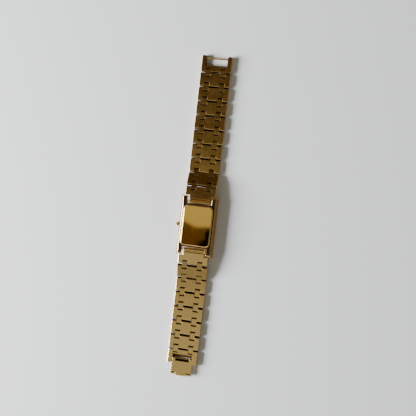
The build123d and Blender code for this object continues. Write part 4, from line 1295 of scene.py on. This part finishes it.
def tick_tree():
    """The printed minute track: ticks on the rays of the minutes, round a rectangle."""
    tree, given = new_tree("minute_track", {
        "Half Size": VECTOR, "Ticks": WHOLE, "Tick Size": VECTOR, "Material": FINISH})
    points = add_node(tree, "GeometryNodeMeshLine", {"Count": given["Ticks"]})
    index = add_node(tree, "GeometryNodeInputIndex")
    angle = add_node(tree, "ShaderNodeMapRange", {
        "Value": index, "From Max": given["Ticks"], "To Max": 2 * math.pi})
    across = add_node(tree, "ShaderNodeMath", {0: angle}, operation="SINE")
    along = add_node(tree, "ShaderNodeMath", {0: angle}, operation="COSINE")
    ray = add_node(tree, "ShaderNodeCombineXYZ", {"X": across, "Y": along})
    # The ray is as long as it takes for its larger part to meet the rectangle.
    positive = add_node(tree, "ShaderNodeVectorMath", {0: ray}, operation="ABSOLUTE")
    shares = add_node(
        tree, "ShaderNodeVectorMath", {0: positive, 1: given["Half Size"]}, operation="DIVIDE")
    parts = add_node(tree, "ShaderNodeSeparateXYZ", {"Vector": shares}).outputs
    larger = add_node(
        tree, "ShaderNodeMath", {0: parts["X"], 1: parts["Y"]}, operation="MAXIMUM")
    reach = add_node(tree, "ShaderNodeMath", {0: 1.0, 1: larger}, operation="DIVIDE")
    place = add_node(
        tree, "ShaderNodeVectorMath", {0: ray, "Scale": reach}, operation="SCALE")
    laid = add_node(
        tree, "GeometryNodeSetPosition", {"Geometry": points, "Position": place})
    tick = add_node(tree, "GeometryNodeMeshCube", {"Size": given["Tick Size"]})
    clockwise = add_node(tree, "ShaderNodeMath", {0: angle, 1: -1.0}, operation="MULTIPLY")
    turn = add_node(tree, "ShaderNodeCombineXYZ", {"Z": clockwise})
    ticks = add_node(tree, "GeometryNodeInstanceOnPoints", {
        "Points": laid, "Instance": tick, "Rotation": turn})
    return end_tree(tree, ticks, given["Material"])


class WATCH_OT_face(bpy.types.Operator):
    """Make the crystal, the dial with its markers and minute track, and the hands"""

    bl_idname = "watch.face"
    bl_label = "Crystal, Dial and Hands"

    def execute(self, context):
        settings = context.scene.watch_case
        glass = rounded_copy("crystal", CRYSTAL_EDGE, angle=25)
        finish(glass, "mineral_glass")
        add_piece("crystal", glass, "case")
        dial = rounded_copy("dial", DIAL_EDGE, segments=2)
        finish(dial, "sunray_dial", "polished_gold_plate")
        # The markers stand on the plate's face, which is the lower one while the watch lies so.
        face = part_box("dial")[0][2] / MM + MARKER_HEIGHT
        for polygon in dial.polygons:
            polygon.material_index = 1 if polygon.center[2] < face - 0.01 else 0
        track = grown("minute_track", tick_tree(), {
            "Half Size": TRACK_HALF_SIZE,
            "Ticks": settings.minute_ticks,
            "Tick Size": TICK_SIZE,
            "Material": MATERIALS["printed_ink"],
        })
        track.transform(Matrix.Translation((0, 0, face)))
        add_piece("dial", join_meshes("dial", [dial, track]), "case")
        for hand, body in (("hour_hand", "hour"), ("minute_hand", "minute")):
            mesh = rounded_copy(hand, HAND_EDGE, segments=2)
            finish(mesh, "polished_gold_plate")
            add_piece(hand, mesh, body)
        return {"FINISHED"}


# Inside the case

CARRIED_OVER = {
    "crystal_gasket": "nitrile_rubber", "case_back_gasket": "nitrile_rubber",
    "hour_wheel": "turned_brass", "cannon_pinion": "turned_steel", "minute_wheel": "turned_brass",
    "main_plate": "turned_brass", "movement_ring": "moulded_acetal",
    "train_bridge": "grained_nickel", "battery": "drawn_steel", "stator": "stamped_iron",
    "rotor": "sintered_magnet", "coil": "enamelled_wire", "circuit_board": "lacquered_board",
    "stem": "turned_steel", "sliding_pinion": "turned_steel",
}


class WATCH_OT_movement(bpy.types.Operator):
    """Finish the parts inside the case, whose CAD shapes are kept"""

    bl_idname = "watch.movement"
    bl_label = "Movement"

    def execute(self, context):
        for name, node in frame["nodes"].items():
            finish(node.data, CARRIED_OVER.get(name, "polished_gold_plate"))
        return {"FINISHED"}


class WATCH_PT_panel(bpy.types.Panel):
    """Lists the steps that dress the watch"""

    bl_idname = "WATCH_PT_panel"
    bl_label = "Rectangular Watch"
    bl_space_type = "VIEW_3D"
    bl_region_type = "UI"
    bl_category = "Watch"

    def draw(self, context):
        for operator in OPERATORS:
            self.layout.operator(operator.bl_idname)


SETTINGS = {
    "watch_stage": WatchStageSettings,
    "watch_bracelet": WatchBraceletSettings,
    "watch_case": WatchCaseSettings,
}
OPERATORS = (
    WATCH_OT_stage, WATCH_OT_wide_links, WATCH_OT_connectors, WATCH_OT_end_links,
    WATCH_OT_clasp, WATCH_OT_case, WATCH_OT_crown, WATCH_OT_face, WATCH_OT_movement,
)
CLASSES = (*SETTINGS.values(), *OPERATORS, WATCH_PT_panel)


def register():
    for cls in CLASSES:
        bpy.utils.register_class(cls)
    for name, cls in SETTINGS.items():
        setattr(bpy.types.Scene, name, PointerProperty(type=cls))


def unregister():
    for name in SETTINGS:
        delattr(bpy.types.Scene, name)
    for cls in reversed(CLASSES):
        bpy.utils.unregister_class(cls)


def main():
    register()
    make_materials()
    for operator in OPERATORS:
        group, name = operator.bl_idname.split(".")
        getattr(getattr(bpy.ops, group), name)()


if __name__ == "__main__":
    main()
